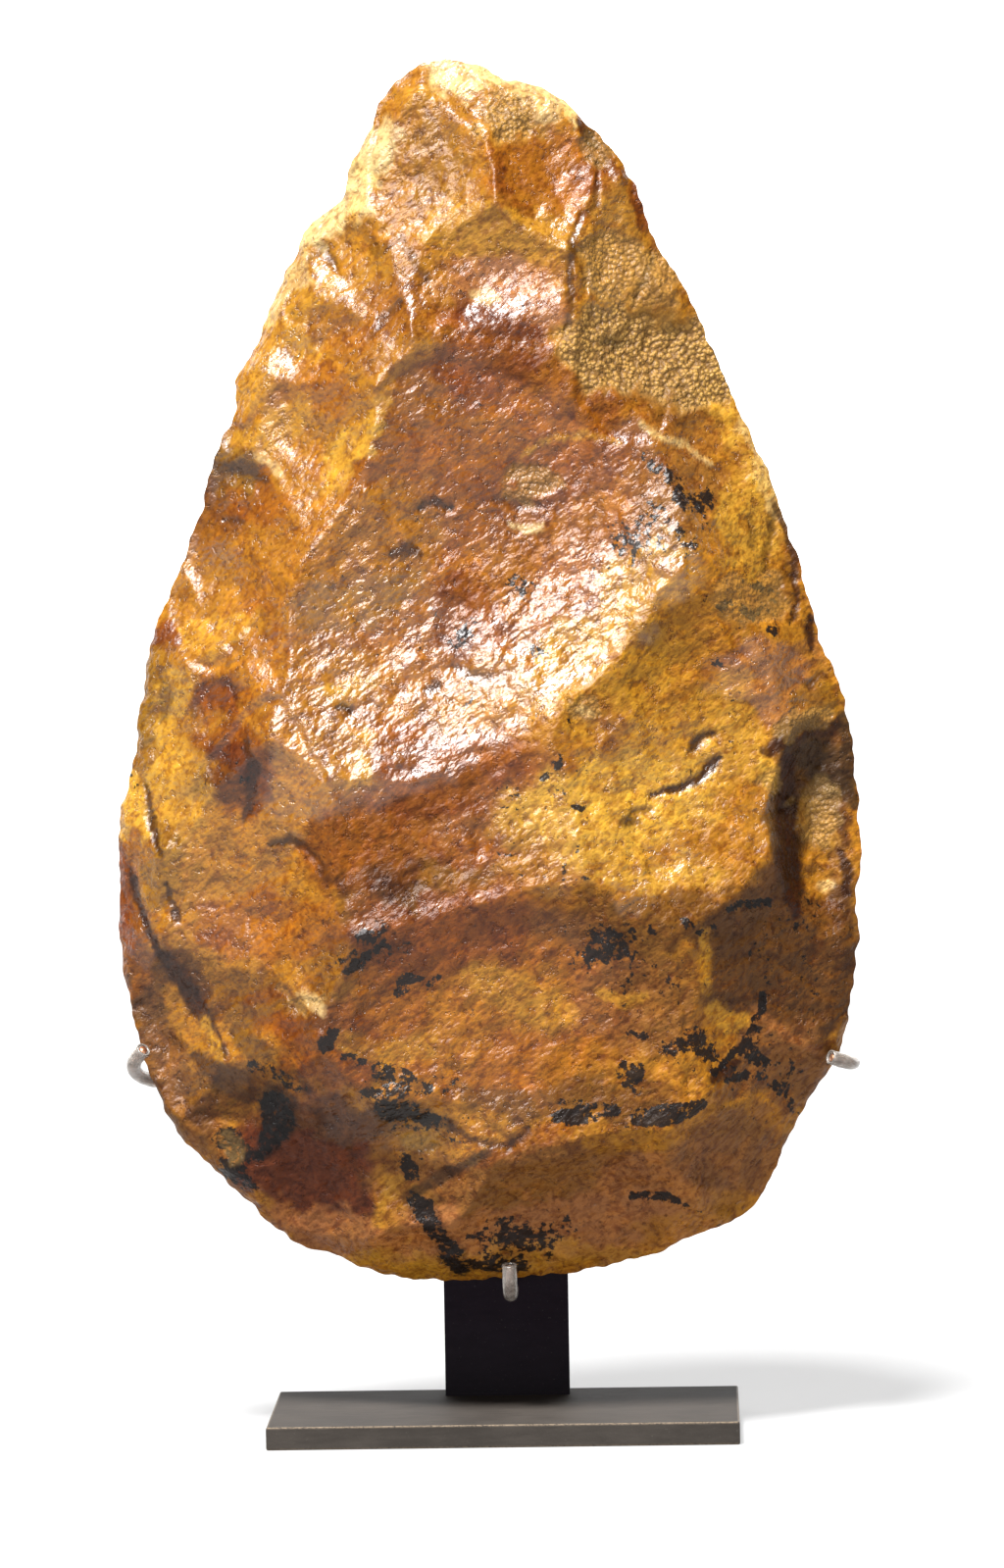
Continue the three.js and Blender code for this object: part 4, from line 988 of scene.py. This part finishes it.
def flint_finish():
    """Waxy, glossy flint: broad tints painted on the mesh with their painted shadows, highlights and
    glow, fine mottling, painted shade in the hollows of the grain, the pits and the rind, stains and
    gloss.
    """
    f = Finish("flint")
    where = f.place()
    slanted = f.place(stretch=(1.6, 1, 1), lean=36)
    tint = f.attribute("tint")[0]
    stain = f.attribute("stain")[1]
    crust = f.attribute("crust")[1]
    polish = f.attribute("polish")[1]
    cloud = f.noise(where, 9, 8, 0.66, 0.8)
    veins = f.noise(where, 4, 8, 0.7, 1.0)
    mottle = f.noise(where, 1.6, 4, 0.6)
    lumps = f.noise(slanted, 3.4, 2, 0.5)
    grit = f.noise(slanted, 1.0, 2, 0.5)
    pits = f.noise(where, 1.9, 3, 0.6).band(0.42, 0.34)
    colour = f.mix(cloud.band(0.50, 0.40) * 0.35, tint, (1.0, 0.86, 0.50, 1), "SOFT_LIGHT")
    colour = f.mix(veins.band(0.50, 0.62) * 0.6, colour, (0.46, 0.28, 0.16, 1), "MULTIPLY")
    colour = f.mix(mottle.band(0.47, 0.66) * 0.4, colour, (0.50, 0.32, 0.18, 1), "MULTIPLY")
    # painted shade: the grain's hollows and the pits are darkened
    colour = f.mix(grit.band(0.52, 0.36) * 0.45, colour, (0.36, 0.20, 0.11, 1), "MULTIPLY")
    colour = f.mix(pits * 0.35, colour, (0.25, 0.12, 0.06, 1), "MULTIPLY")
    specks = f.noise(where, 1.5, 5, 0.75) + f.noise(where, 6, 3) * 0.5
    black = (specks + stain * 0.22).band(0.95, 1.0)
    colour = f.mix(black * 0.95, colour, (0.005, 0.004, 0.004, 1))
    grains = f.node("ShaderNodeTexVoronoi", {"feature": "SMOOTH_F1"},
                    {"Vector": f.frayed(where, 0.5), "Scale": 1 / 0.95, "Smoothness": 0.3})[0]
    pores = grains.band(0.38, 0.62)
    colour = f.mix(crust * 0.55, colour, (0.42, 0.25, 0.075, 1))
    # painted shade in the sunken gaps between the rind's grains
    colour = f.mix(crust * pores * 0.75, colour, (0.10, 0.045, 0.012, 1))
    height = lumps * 1.3 + grit * 0.45 - pits * 0.16 - crust * grains * 0.9
    normal = f.bump(height, 0.72)
    dull = f.principled(Base_Color=colour, Roughness=mottle * 0.3 + 0.24, Normal=normal,
                        IOR=1.54, Specular_IOR_Level=0.12)
    bright = f.principled(Base_Color=colour, Roughness=mottle * 0.2 + 0.18, Normal=normal,
                          IOR=1.54, Specular_IOR_Level=0.7)
    shine = polish * (1 - crust * 0.8)
    return f.finished(f.node("ShaderNodeMixShader", None, {0: shine, 1: dull, 2: bright})[0])


def steel_finish(name, colour, rough, grain=0.5):
    """Dark patinated steel with a faint mottle and rubbed, brassy edges."""
    f = Finish(name)
    where = f.place()
    cloud = f.noise(where, 11, 5)
    smear = f.noise(f.place(stretch=(5, 1, 1)), 1.6, 4)
    fleck = f.noise(where, 0.35, 2)
    pale = tuple(min(1, 1.9 * c) for c in colour)
    shade = f.mix((cloud * 0.6 + smear * 0.4).band(0.35, 0.68) * grain, (*colour, 1), (*pale, 1))
    shade = f.mix(fleck.band(0.68, 0.80) * 0.35, shade, (0.16, 0.15, 0.13, 1))
    wear = f.attribute("wear")[1] * fleck.band(0.30, 0.55)
    shade = f.mix(wear * 0.2, shade, (0.42, 0.31, 0.20, 1))
    roughness = rough + cloud * 0.14 - wear * 0.2
    normal = f.bump(f.noise(where, 0.6, 3) + smear * 0.6, 0.05)
    return f.surface(Base_Color=shade, Roughness=roughness, Metallic=wear * 0.3, Normal=normal,
                     Specular_IOR_Level=0.05)


def brass_finish():
    """Reddish brass rod with fine drawn lines along it and a dull skin."""
    f = Finish("rod_brass")
    where = f.place()
    cloud = f.noise(where, 1.6, 4)
    colour = f.mix(cloud.band(0.35, 0.7), (0.50, 0.20, 0.10, 1), (0.72, 0.40, 0.24, 1))
    normal = f.bump(f.noise(where, 0.3, 3), 0.03)
    return f.surface(Base_Color=colour, Metallic=0.9, Roughness=0.28 + cloud * 0.2, Normal=normal)


def tube_finish():
    """Clear soft tube, a little cloudy."""
    f = Finish("clear_tube")
    where = f.place()
    cloud = f.noise(where, 1.2, 3)
    colour = f.mix(cloud.band(0.3, 0.7), (0.36, 0.31, 0.27, 1), (0.60, 0.55, 0.50, 1))
    normal = f.bump(f.noise(where, 0.5, 2), 0.02)
    return f.surface(Base_Color=colour, Roughness=0.12 + cloud * 0.1, Normal=normal,
                     Transmission_Weight=0.7, IOR=1.42)


# ---------------------------------------------------------------- mesh helpers

def new_piece(name, points, faces, material, slot, *nodes):
    """Makes a piece from points in mm, gives it its finish and sets it in the frame."""
    mesh = bpy.data.meshes.new(name)
    mesh.from_pydata((np.asarray(points) * MM).tolist(), [], [list(map(int, face)) for face in faces])
    mesh.validate()
    mesh.materials.append(material)
    piece = bpy.data.objects.new(name, mesh)
    bpy.context.collection.objects.link(piece)
    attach(piece, BODY)
    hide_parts(*nodes)
    return piece


def shade_smooth(piece):
    piece.data.polygons.foreach_set("use_smooth", [True] * len(piece.data.polygons))


def paint(piece, name, values):
    """Stores a number or a colour at each corner of a piece."""
    colour = np.ndim(values) == 2
    kind = "FLOAT_COLOR" if colour else "FLOAT"
    layer = piece.data.attributes.new(name, kind, "POINT")
    if colour:
        rgba = np.column_stack([values, np.ones(len(values))])
        layer.data.foreach_set("color", rgba.astype(np.float32).ravel())
    else:
        layer.data.foreach_set("value", np.asarray(values, np.float32))


def bar(low, high, round_off):
    """Points, faces and edge wear of a bar with its edges rounded off; sizes in mm."""
    steps = [(0.0, 1.0), (0.1, 0.45), (0.45, 0.1), (1.0, 0.0)]
    low, high = np.array(low, float), np.array(high, float)
    loops = [(low[2] + drop * round_off, inset * round_off) for inset, drop in steps[::-1]]
    loops += [(high[2] - drop * round_off, inset * round_off) for inset, drop in steps]
    points, faces, wear = [], [], []
    for z, inset in loops:
        (x0, y0), (x1, y1) = low[:2] + inset, high[:2] - inset
        wear += [1.0 if 0 < inset < round_off else 0.0] * 8
        cut = 0.25 * round_off
        points += [(x0 + cut, y0, z), (x1 - cut, y0, z), (x1, y0 + cut, z), (x1, y1 - cut, z),
                   (x1 - cut, y1, z), (x0 + cut, y1, z), (x0, y1 - cut, z), (x0, y0 + cut, z)]
    for loop in range(len(loops) - 1):
        for i in range(8):
            a, b = loop * 8 + i, loop * 8 + (i + 1) % 8
            faces.append((a, b, b + 8, a + 8))
    faces.append(tuple(range(7, -1, -1)))
    faces.append(tuple(range(len(points) - 8, len(points))))
    return points, faces, wear


def smooth_route(points, count):
    """A smooth line of evenly spaced points through the given ones."""
    pts = np.array(points, float)
    pts = np.vstack([2 * pts[0] - pts[1], pts, 2 * pts[-1] - pts[-2]])
    fine = []
    for a, b, c, d in zip(pts, pts[1:], pts[2:], pts[3:]):
        knots = np.cumsum([0] + [max(np.linalg.norm(q - p), 1e-6) ** 0.5
                                 for p, q in ((a, b), (b, c), (c, d))])
        for t in np.linspace(knots[1], knots[2], KNOT_STEPS, endpoint=False):
            a1 = ((knots[1] - t) * a + (t - knots[0]) * b) / (knots[1] - knots[0])
            a2 = ((knots[2] - t) * b + (t - knots[1]) * c) / (knots[2] - knots[1])
            a3 = ((knots[3] - t) * c + (t - knots[2]) * d) / (knots[3] - knots[2])
            b1 = ((knots[2] - t) * a1 + (t - knots[0]) * a2) / (knots[2] - knots[0])
            b2 = ((knots[3] - t) * a2 + (t - knots[1]) * a3) / (knots[3] - knots[1])
            fine.append(((knots[2] - t) * b1 + (t - knots[1]) * b2) / (knots[2] - knots[1]))
    fine.append(pts[-2])
    fine = np.array(fine)
    run = np.concatenate([[0], np.cumsum(np.linalg.norm(np.diff(fine, axis=0), axis=1))])
    at = np.linspace(0, run[-1], count)
    return np.stack([np.interp(at, run, fine[:, k]) for k in range(3)], -1), run[-1]


def tube(line, radius, sides):
    """Points of the rings of that radius that are swept along a line."""
    ahead = np.gradient(line, axis=0)
    ahead /= np.linalg.norm(ahead, axis=1)[:, None]
    side = np.cross(ahead, (0, 0, 1.0))
    flat = np.linalg.norm(side, axis=1) < 0.05
    side[flat] = (1.0, 0, 0)
    side /= np.linalg.norm(side, axis=1)[:, None]
    for i in range(1, len(side)):
        if side[i] @ side[i - 1] < 0:
            side[i] *= -1
    up = np.cross(side, ahead)
    turn = 2 * np.pi * np.arange(sides) / sides
    return np.concatenate([
        place + radius * (np.cos(turn)[:, None] * side[i] + np.sin(turn)[:, None] * up[i])
        for i, place in enumerate(line)])


def ring_faces(first, second, sides, flip=False):
    """Faces between two rings that start at those points."""
    faces = []
    for i in range(sides):
        j = (i + 1) % sides
        face = (first + i, first + j, second + j, second + i)
        faces.append(face[::-1] if flip else face)
    return faces


# ---------------------------------------------------------------- pieces

BOTTOM_X = 1.6                          # how far right of the middle the bottom hook is
ARM_Z = 70                              # height of both arms at the upright
HOOK_Z = 28.9                           # height of the bottom hook under the stone
ROOT_INSET = 5.7                        # how far in from the upright's edge an arm starts
KNOT_STEPS = 16                         # points of a smooth line between two given ones
ROD_SIDES, ROD_STEPS = 16, 110
SLEEVE_SIDES, SLEEVE_STEPS = 24, 400
SLEEVE_BORE = 1.15                      # inner radius of the clear sleeves
SLEEVE_LIP = 0.6                        # how far they reach past the rod
PLATE_LOW, PLATE_HIGH = (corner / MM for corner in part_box("upright_plate"))
PLATE_MIDDLE = (PLATE_LOW.y + PLATE_HIGH.y) / 2
ROOT_X = PLATE_HIGH.x - ROOT_INSET
# The middle lines of the three rods, from the upright to their tips.
ROUTES = {
    "left": [
        (-ROOT_X, PLATE_MIDDLE, ARM_Z), (-20, PLATE_MIDDLE, ARM_Z), (-42, 17.2, 70.3),
        (-60, 11.5, 71), (-70.6, 3.2, 72.6), (-74.5, -3.6, 75.2), (-74.4, -8.3, 78),
        (-72.3, -10.8, 80.6),
    ],
    "right": [
        (ROOT_X, PLATE_MIDDLE, ARM_Z), (20, PLATE_MIDDLE, ARM_Z), (42, 17.2, 71), (60, 11.5, 73),
        (69.6, 4, 74.8), (72.3, -3.2, 75.2), (71.2, -8.2, 75.7), (67.9, -10.6, 76.9),
    ],
    "bottom": [
        (BOTTOM_X, PLATE_MIDDLE, HOOK_Z), (BOTTOM_X, 8, HOOK_Z), (BOTTOM_X, -2, HOOK_Z),
        (BOTTOM_X, -8.6, 29.2), (BOTTOM_X, -11.8, 31.8), (BOTTOM_X, -12.6, 35.2),
    ],
}


class StoneSizes(bpy.types.PropertyGroup):
    rings: bpy.props.IntProperty(
        name="Rings", description="Rings of facets from the middle to the edge",
        default=RINGS, min=12)


class ClawSizes(bpy.types.PropertyGroup):
    rod_radius: bpy.props.FloatProperty(
        name="Rod radius", description="Radius of the bent rods",
        default=0.8 * MM, unit="LENGTH")
    sleeve_radius: bpy.props.FloatProperty(
        name="Sleeve radius", description="Outer radius of the clear sleeves",
        default=1.5 * MM, unit="LENGTH")
    sleeve_length: bpy.props.FloatProperty(
        name="Sleeve length", description="How much of each rod its sleeve covers",
        default=17 * MM, unit="LENGTH")


class StandSizes(bpy.types.PropertyGroup):
    rounding: bpy.props.FloatProperty(
        name="Edge rounding", description="How much the bars' edges are broken",
        default=0.5 * MM, unit="LENGTH")
    base_colour: bpy.props.FloatVectorProperty(
        name="Base colour", description="Colour of the base bar",
        subtype="COLOR", default=(0.034, 0.029, 0.025))
    plate_colour: bpy.props.FloatVectorProperty(
        name="Upright colour", description="Colour of the upright",
        subtype="COLOR", default=(0.016, 0.012, 0.018))


class STAND_OT_stone(bpy.types.Operator):
    """Make the flaked stone"""
    bl_idname = "handaxe.stone"
    bl_label = "Flaked stone"

    def execute(self, context):
        rings = context.scene.stone_sizes.rings
        front = StoneFace(rings)
        front.rise([scar[1:] for scar in FRONT_SCARS], 0, 1, FRONT_CRUST, FRONT_ROUGH, cracks())
        back = StoneFace(rings // 2)
        back.rise(back_scars(), 10, BACK_THICKNESS, BACK_CRUST)
        inside = back.out < 1
        rim = len(front.x) - 6 * rings
        number = len(front.x) + np.arange(len(back.x))
        number[~inside] = rim + 2 * np.arange(np.count_nonzero(~inside))
        behind = meet_rim(number[back.triangles], rim, 6 * rings)[:, ::-1]
        faces = np.concatenate([front.triangles, behind])
        points = np.concatenate([front.points(-1), back.points(1)[inside]])
        low, high = (np.array(corner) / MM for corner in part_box("hand_axe"))
        points = np.clip(points, low + 0.01, high - 0.01)
        piece = new_piece("flaked_stone", points, faces, flint_finish(), "flint", "hand_axe")
        shade_smooth(piece)
        piece.data.set_sharp_from_angle(angle=math.radians(SHARP_ANGLE))
        looks = (("tint", stone_tint(front.x, front.z, FRONT_TINTS, FRONT_MARKS),
                  stone_tint(back.x, back.z, BACK_TINTS)),
                 ("stain", stone_patches(front.x, front.z, FRONT_STAINS, FRONT_INK),
                  stone_patches(back.x, back.z, BACK_STAINS)),
                 ("crust", stone_patches(front.x, front.z, FRONT_CRUST),
                  stone_patches(back.x, back.z, BACK_CRUST)),
                 ("polish", stone_patches(front.x, front.z, FRONT_POLISH),
                  stone_patches(back.x, back.z, BACK_POLISH)))
        for name, of_front, of_back in looks:
            paint(piece, name, np.concatenate([of_front, of_back[inside]]))
        return {"FINISHED"}


class STAND_OT_bars(bpy.types.Operator):
    """Make the base bar and the upright"""
    bl_idname = "handaxe.bars"
    bl_label = "Base and upright"

    def execute(self, context):
        sizes = context.scene.stand_sizes
        rounding = sizes.rounding / MM
        low, high = (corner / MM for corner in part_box("base_bar"))
        self.make_bar("base", low, high, rounding, "base_bar", "base_steel",
                      steel_finish("base_steel", tuple(sizes.base_colour), 0.62))
        self.make_bar("upright", PLATE_LOW, PLATE_HIGH, 0.6 * rounding, "upright_plate",
                      "plate_steel",
                      steel_finish("plate_steel", tuple(sizes.plate_colour), 0.62, 0.3))
        return {"FINISHED"}

    def make_bar(self, name, low, high, rounding, node, slot, finish):
        """Makes one bar and paints the wear of its edges."""
        points, faces, wear = bar(low, high, rounding)
        piece = new_piece(name, points, faces, finish, slot, node)
        paint(piece, "wear", wear)


class STAND_OT_claws(bpy.types.Operator):
    """Make the three bent rods and their clear sleeves"""
    bl_idname = "handaxe.claws"
    bl_label = "Claws"

    def execute(self, context):
        sizes = context.scene.claw_sizes
        brass = brass_finish()
        clear = tube_finish()
        for side, route in ROUTES.items():
            node = "bottom_hook" if side == "bottom" else side + "_arm"
            self.make_rod(side, route, node, brass, sizes.rod_radius / MM)
            self.make_sleeve(side, route, clear, sizes)
        return {"FINISHED"}

    def make_rod(self, side, route, node, finish, radius):
        """Makes one bent rod with closed ends."""
        line, _ = smooth_route(route, ROD_STEPS)
        points = tube(line, radius, ROD_SIDES)
        faces = []
        for i in range(len(line) - 1):
            faces += ring_faces(i * ROD_SIDES, (i + 1) * ROD_SIDES, ROD_SIDES, True)
        faces.append(tuple(range(ROD_SIDES)))
        faces.append(tuple(range(len(points) - ROD_SIDES, len(points)))[::-1])
        shade_smooth(new_piece(side + "_rod", points, faces, finish, "rod_brass", node))

    def make_sleeve(self, side, route, finish, sizes):
        """Makes one open tube over the tip of a rod."""
        line, length = smooth_route(route, SLEEVE_STEPS)
        covered = int(SLEEVE_STEPS * (1 - sizes.sleeve_length / MM / length))
        line = line[covered::4]
        lip = line[-1] + SLEEVE_LIP * (line[-1] - line[-2]) / np.linalg.norm(line[-1] - line[-2])
        line = np.vstack([line, lip])
        sides = SLEEVE_SIDES
        shell = tube(line, sizes.sleeve_radius / MM, sides)
        bore = tube(line, SLEEVE_BORE, sides)
        points = np.concatenate([shell, bore])
        faces, offset = [], len(shell)
        for i in range(len(line) - 1):
            faces += ring_faces(i * sides, (i + 1) * sides, sides, True)
            faces += ring_faces(offset + i * sides, offset + (i + 1) * sides, sides)
        faces += ring_faces(0, offset, sides)
        last = (len(line) - 1) * sides
        faces += ring_faces(last, offset + last, sides, True)
        piece = new_piece(side + "_tube", points, faces, finish, "clear_tube", side + "_sleeve")
        shade_smooth(piece)


# ---------------------------------------------------------------- stage

CAMERA_PLACE = (40.6, -1457, 219)      # mm
CAMERA_YAW, CAMERA_PITCH, CAMERA_ROLL = 0.0269, -0.0589, 0.0169
LENS_LENGTH = 163.7                     # mm, on a sensor of SENSOR_WIDTH
SENSOR_WIDTH = 36
FLOOR_REACH = 12.0                      # metres from the middle to each side of the floor
WALL_REACH, WALL_HEIGHT = 8, 5          # metres; the wall stands as far back as it is high
KEY_SPREAD, KEY_POWER = 14, 10.3        # the key light's width in degrees, and its strength
KEY_DIRECTION = (0.19, 0.40, -0.90)
WORLD_LIGHT = 0.07                      # light from all round; the world itself looks white


def add_light(name, place, target, size, power):
    """A rectangular lamp, in metres and watts, that faces the target."""
    light = bpy.data.lights.new(name, "AREA")
    light.shape = "RECTANGLE"
    light.size, light.size_y = size
    light.energy = power
    lamp = bpy.data.objects.new(name, light)
    lamp.location = place
    lamp.rotation_euler = (Vector(target) - Vector(place)).to_track_quat("-Z", "Y").to_euler()
    bpy.context.collection.objects.link(lamp)
    return lamp


class STAND_OT_stage(bpy.types.Operator):
    """Make the floor, the backdrop, the studio lights and the camera"""
    bl_idname = "handaxe.stage"
    bl_label = "Stage"

    def execute(self, context):
        self.make_floor()
        self.make_lights(context)
        self.make_camera(context)
        return {"FINISHED"}

    def make_sheet(self, name, corners, finish):
        """Makes one flat sheet of the stage from its four corners, in metres."""
        mesh = bpy.data.meshes.new(name)
        mesh.from_pydata(corners, [], [(0, 1, 2, 3)])
        mesh.materials.append(finish)
        sheet = bpy.data.objects.new(name, mesh)
        bpy.context.collection.objects.link(sheet)
        return sheet

    def make_floor(self):
        """Makes the pale floor and the white wall behind it."""
        f = Finish("pale_floor")
        cloud = f.noise(f.place(), 400, 2)
        colour = f.mix(cloud, (0.20, 0.20, 0.20, 1), (0.22, 0.22, 0.22, 1))
        finish = f.surface(Base_Color=colour, Roughness=0.8, Specular_IOR_Level=0.2,
                           Emission_Color=(1, 1, 1, 1), Emission_Strength=0.55)
        far = FLOOR_REACH
        floor = self.make_sheet(
            "floor", [(-far, -far, 0), (far, -far, 0), (far, far, 0), (-far, far, 0)], finish)
        f = Finish("white_wall")
        cloud = f.noise(f.place(), 900, 2)
        glow = f.mix(cloud, (0.98, 0.98, 0.98, 1), (1.0, 1.0, 1.0, 1))
        finish = f.surface(Base_Color=(0.8, 0.8, 0.8, 1), Roughness=0.9,
                           Emission_Color=glow, Emission_Strength=1.0)
        far, top = WALL_REACH, WALL_HEIGHT
        wall = self.make_sheet(
            "wall", [(-far, top, 0), (far, top, 0), (far, top, top), (-far, top, top)], finish)

    def make_lights(self, context):
        """Makes the world, the key light, a weak fill and the light that the gloss returns."""
        world = bpy.data.worlds.new("studio")
        world.use_nodes = True
        sky = Nodes(world.node_tree)
        seen = sky.node("ShaderNodeLightPath")[0]
        strength = seen * (1 - WORLD_LIGHT) + WORLD_LIGHT
        white = sky.node("ShaderNodeBackground", None, {0: (1, 1, 1, 1), 1: strength})[0]
        sky.node("ShaderNodeOutputWorld", None, {0: white})
        context.scene.world = world
        sun = bpy.data.lights.new("key", "SUN")
        sun.angle = math.radians(KEY_SPREAD)
        sun.energy = KEY_POWER
        lamp = bpy.data.objects.new("key", sun)
        lamp.rotation_euler = Vector(KEY_DIRECTION).to_track_quat("-Z", "Y").to_euler()
        bpy.context.collection.objects.link(lamp)
        add_light("fill", (-0.9, -1.9, 0.9), (0, 0, 0.14), (1.2, 1.2), 6)
        sheen = add_light("sheen", (-0.73, -2.26, 1.64), (0, 0, 0.16), (1.3, 1.1), 105)
        sheen.visible_diffuse = False

    def make_camera(self, context):
        """Makes the camera in front of the stand."""
        turn = (Matrix.Rotation(CAMERA_YAW, 3, "Z") @ Matrix.Rotation(CAMERA_PITCH, 3, "X")
                @ Matrix.Rotation(CAMERA_ROLL, 3, "Y"))
        right, ahead, up = (turn.col[i] for i in range(3))
        axes = Matrix((right, up, -ahead)).transposed()
        camera = bpy.data.cameras.new("camera")
        camera.lens = LENS_LENGTH
        camera.sensor_width = SENSOR_WIDTH
        eye = bpy.data.objects.new("camera", camera)
        eye.matrix_world = Matrix.Translation(Vector(CAMERA_PLACE) * MM) @ axes.to_4x4()
        bpy.context.collection.objects.link(eye)
        context.scene.camera = eye
        context.scene.view_settings.view_transform = "Standard"


STEPS = ("stage", "stone", "bars", "claws")


class STAND_PT_steps(bpy.types.Panel):
    bl_label = "Hand axe"
    bl_idname = "STAND_PT_steps"
    bl_space_type = "VIEW_3D"
    bl_region_type = "UI"
    bl_category = "Hand Axe"

    def draw(self, context):
        for step in STEPS:
            self.layout.operator("handaxe." + step)
        for group in ("stone_sizes", "stand_sizes", "claw_sizes"):
            owner = getattr(context.scene, group)
            for name in owner.__annotations__:
                self.layout.prop(owner, name)


CLASSES = (StoneSizes, ClawSizes, StandSizes, STAND_OT_stone, STAND_OT_bars,
           STAND_OT_claws, STAND_OT_stage, STAND_PT_steps)


def register():
    for cls in CLASSES:
        bpy.utils.register_class(cls)
    bpy.types.Scene.stone_sizes = bpy.props.PointerProperty(type=StoneSizes)
    bpy.types.Scene.claw_sizes = bpy.props.PointerProperty(type=ClawSizes)
    bpy.types.Scene.stand_sizes = bpy.props.PointerProperty(type=StandSizes)


def unregister():
    del bpy.types.Scene.stone_sizes
    del bpy.types.Scene.claw_sizes
    del bpy.types.Scene.stand_sizes
    for cls in reversed(CLASSES):
        bpy.utils.unregister_class(cls)


def main():
    """Makes everything."""
    register()
    for step in STEPS:
        getattr(bpy.ops.handaxe, step)()


if __name__ == "__main__":
    main()
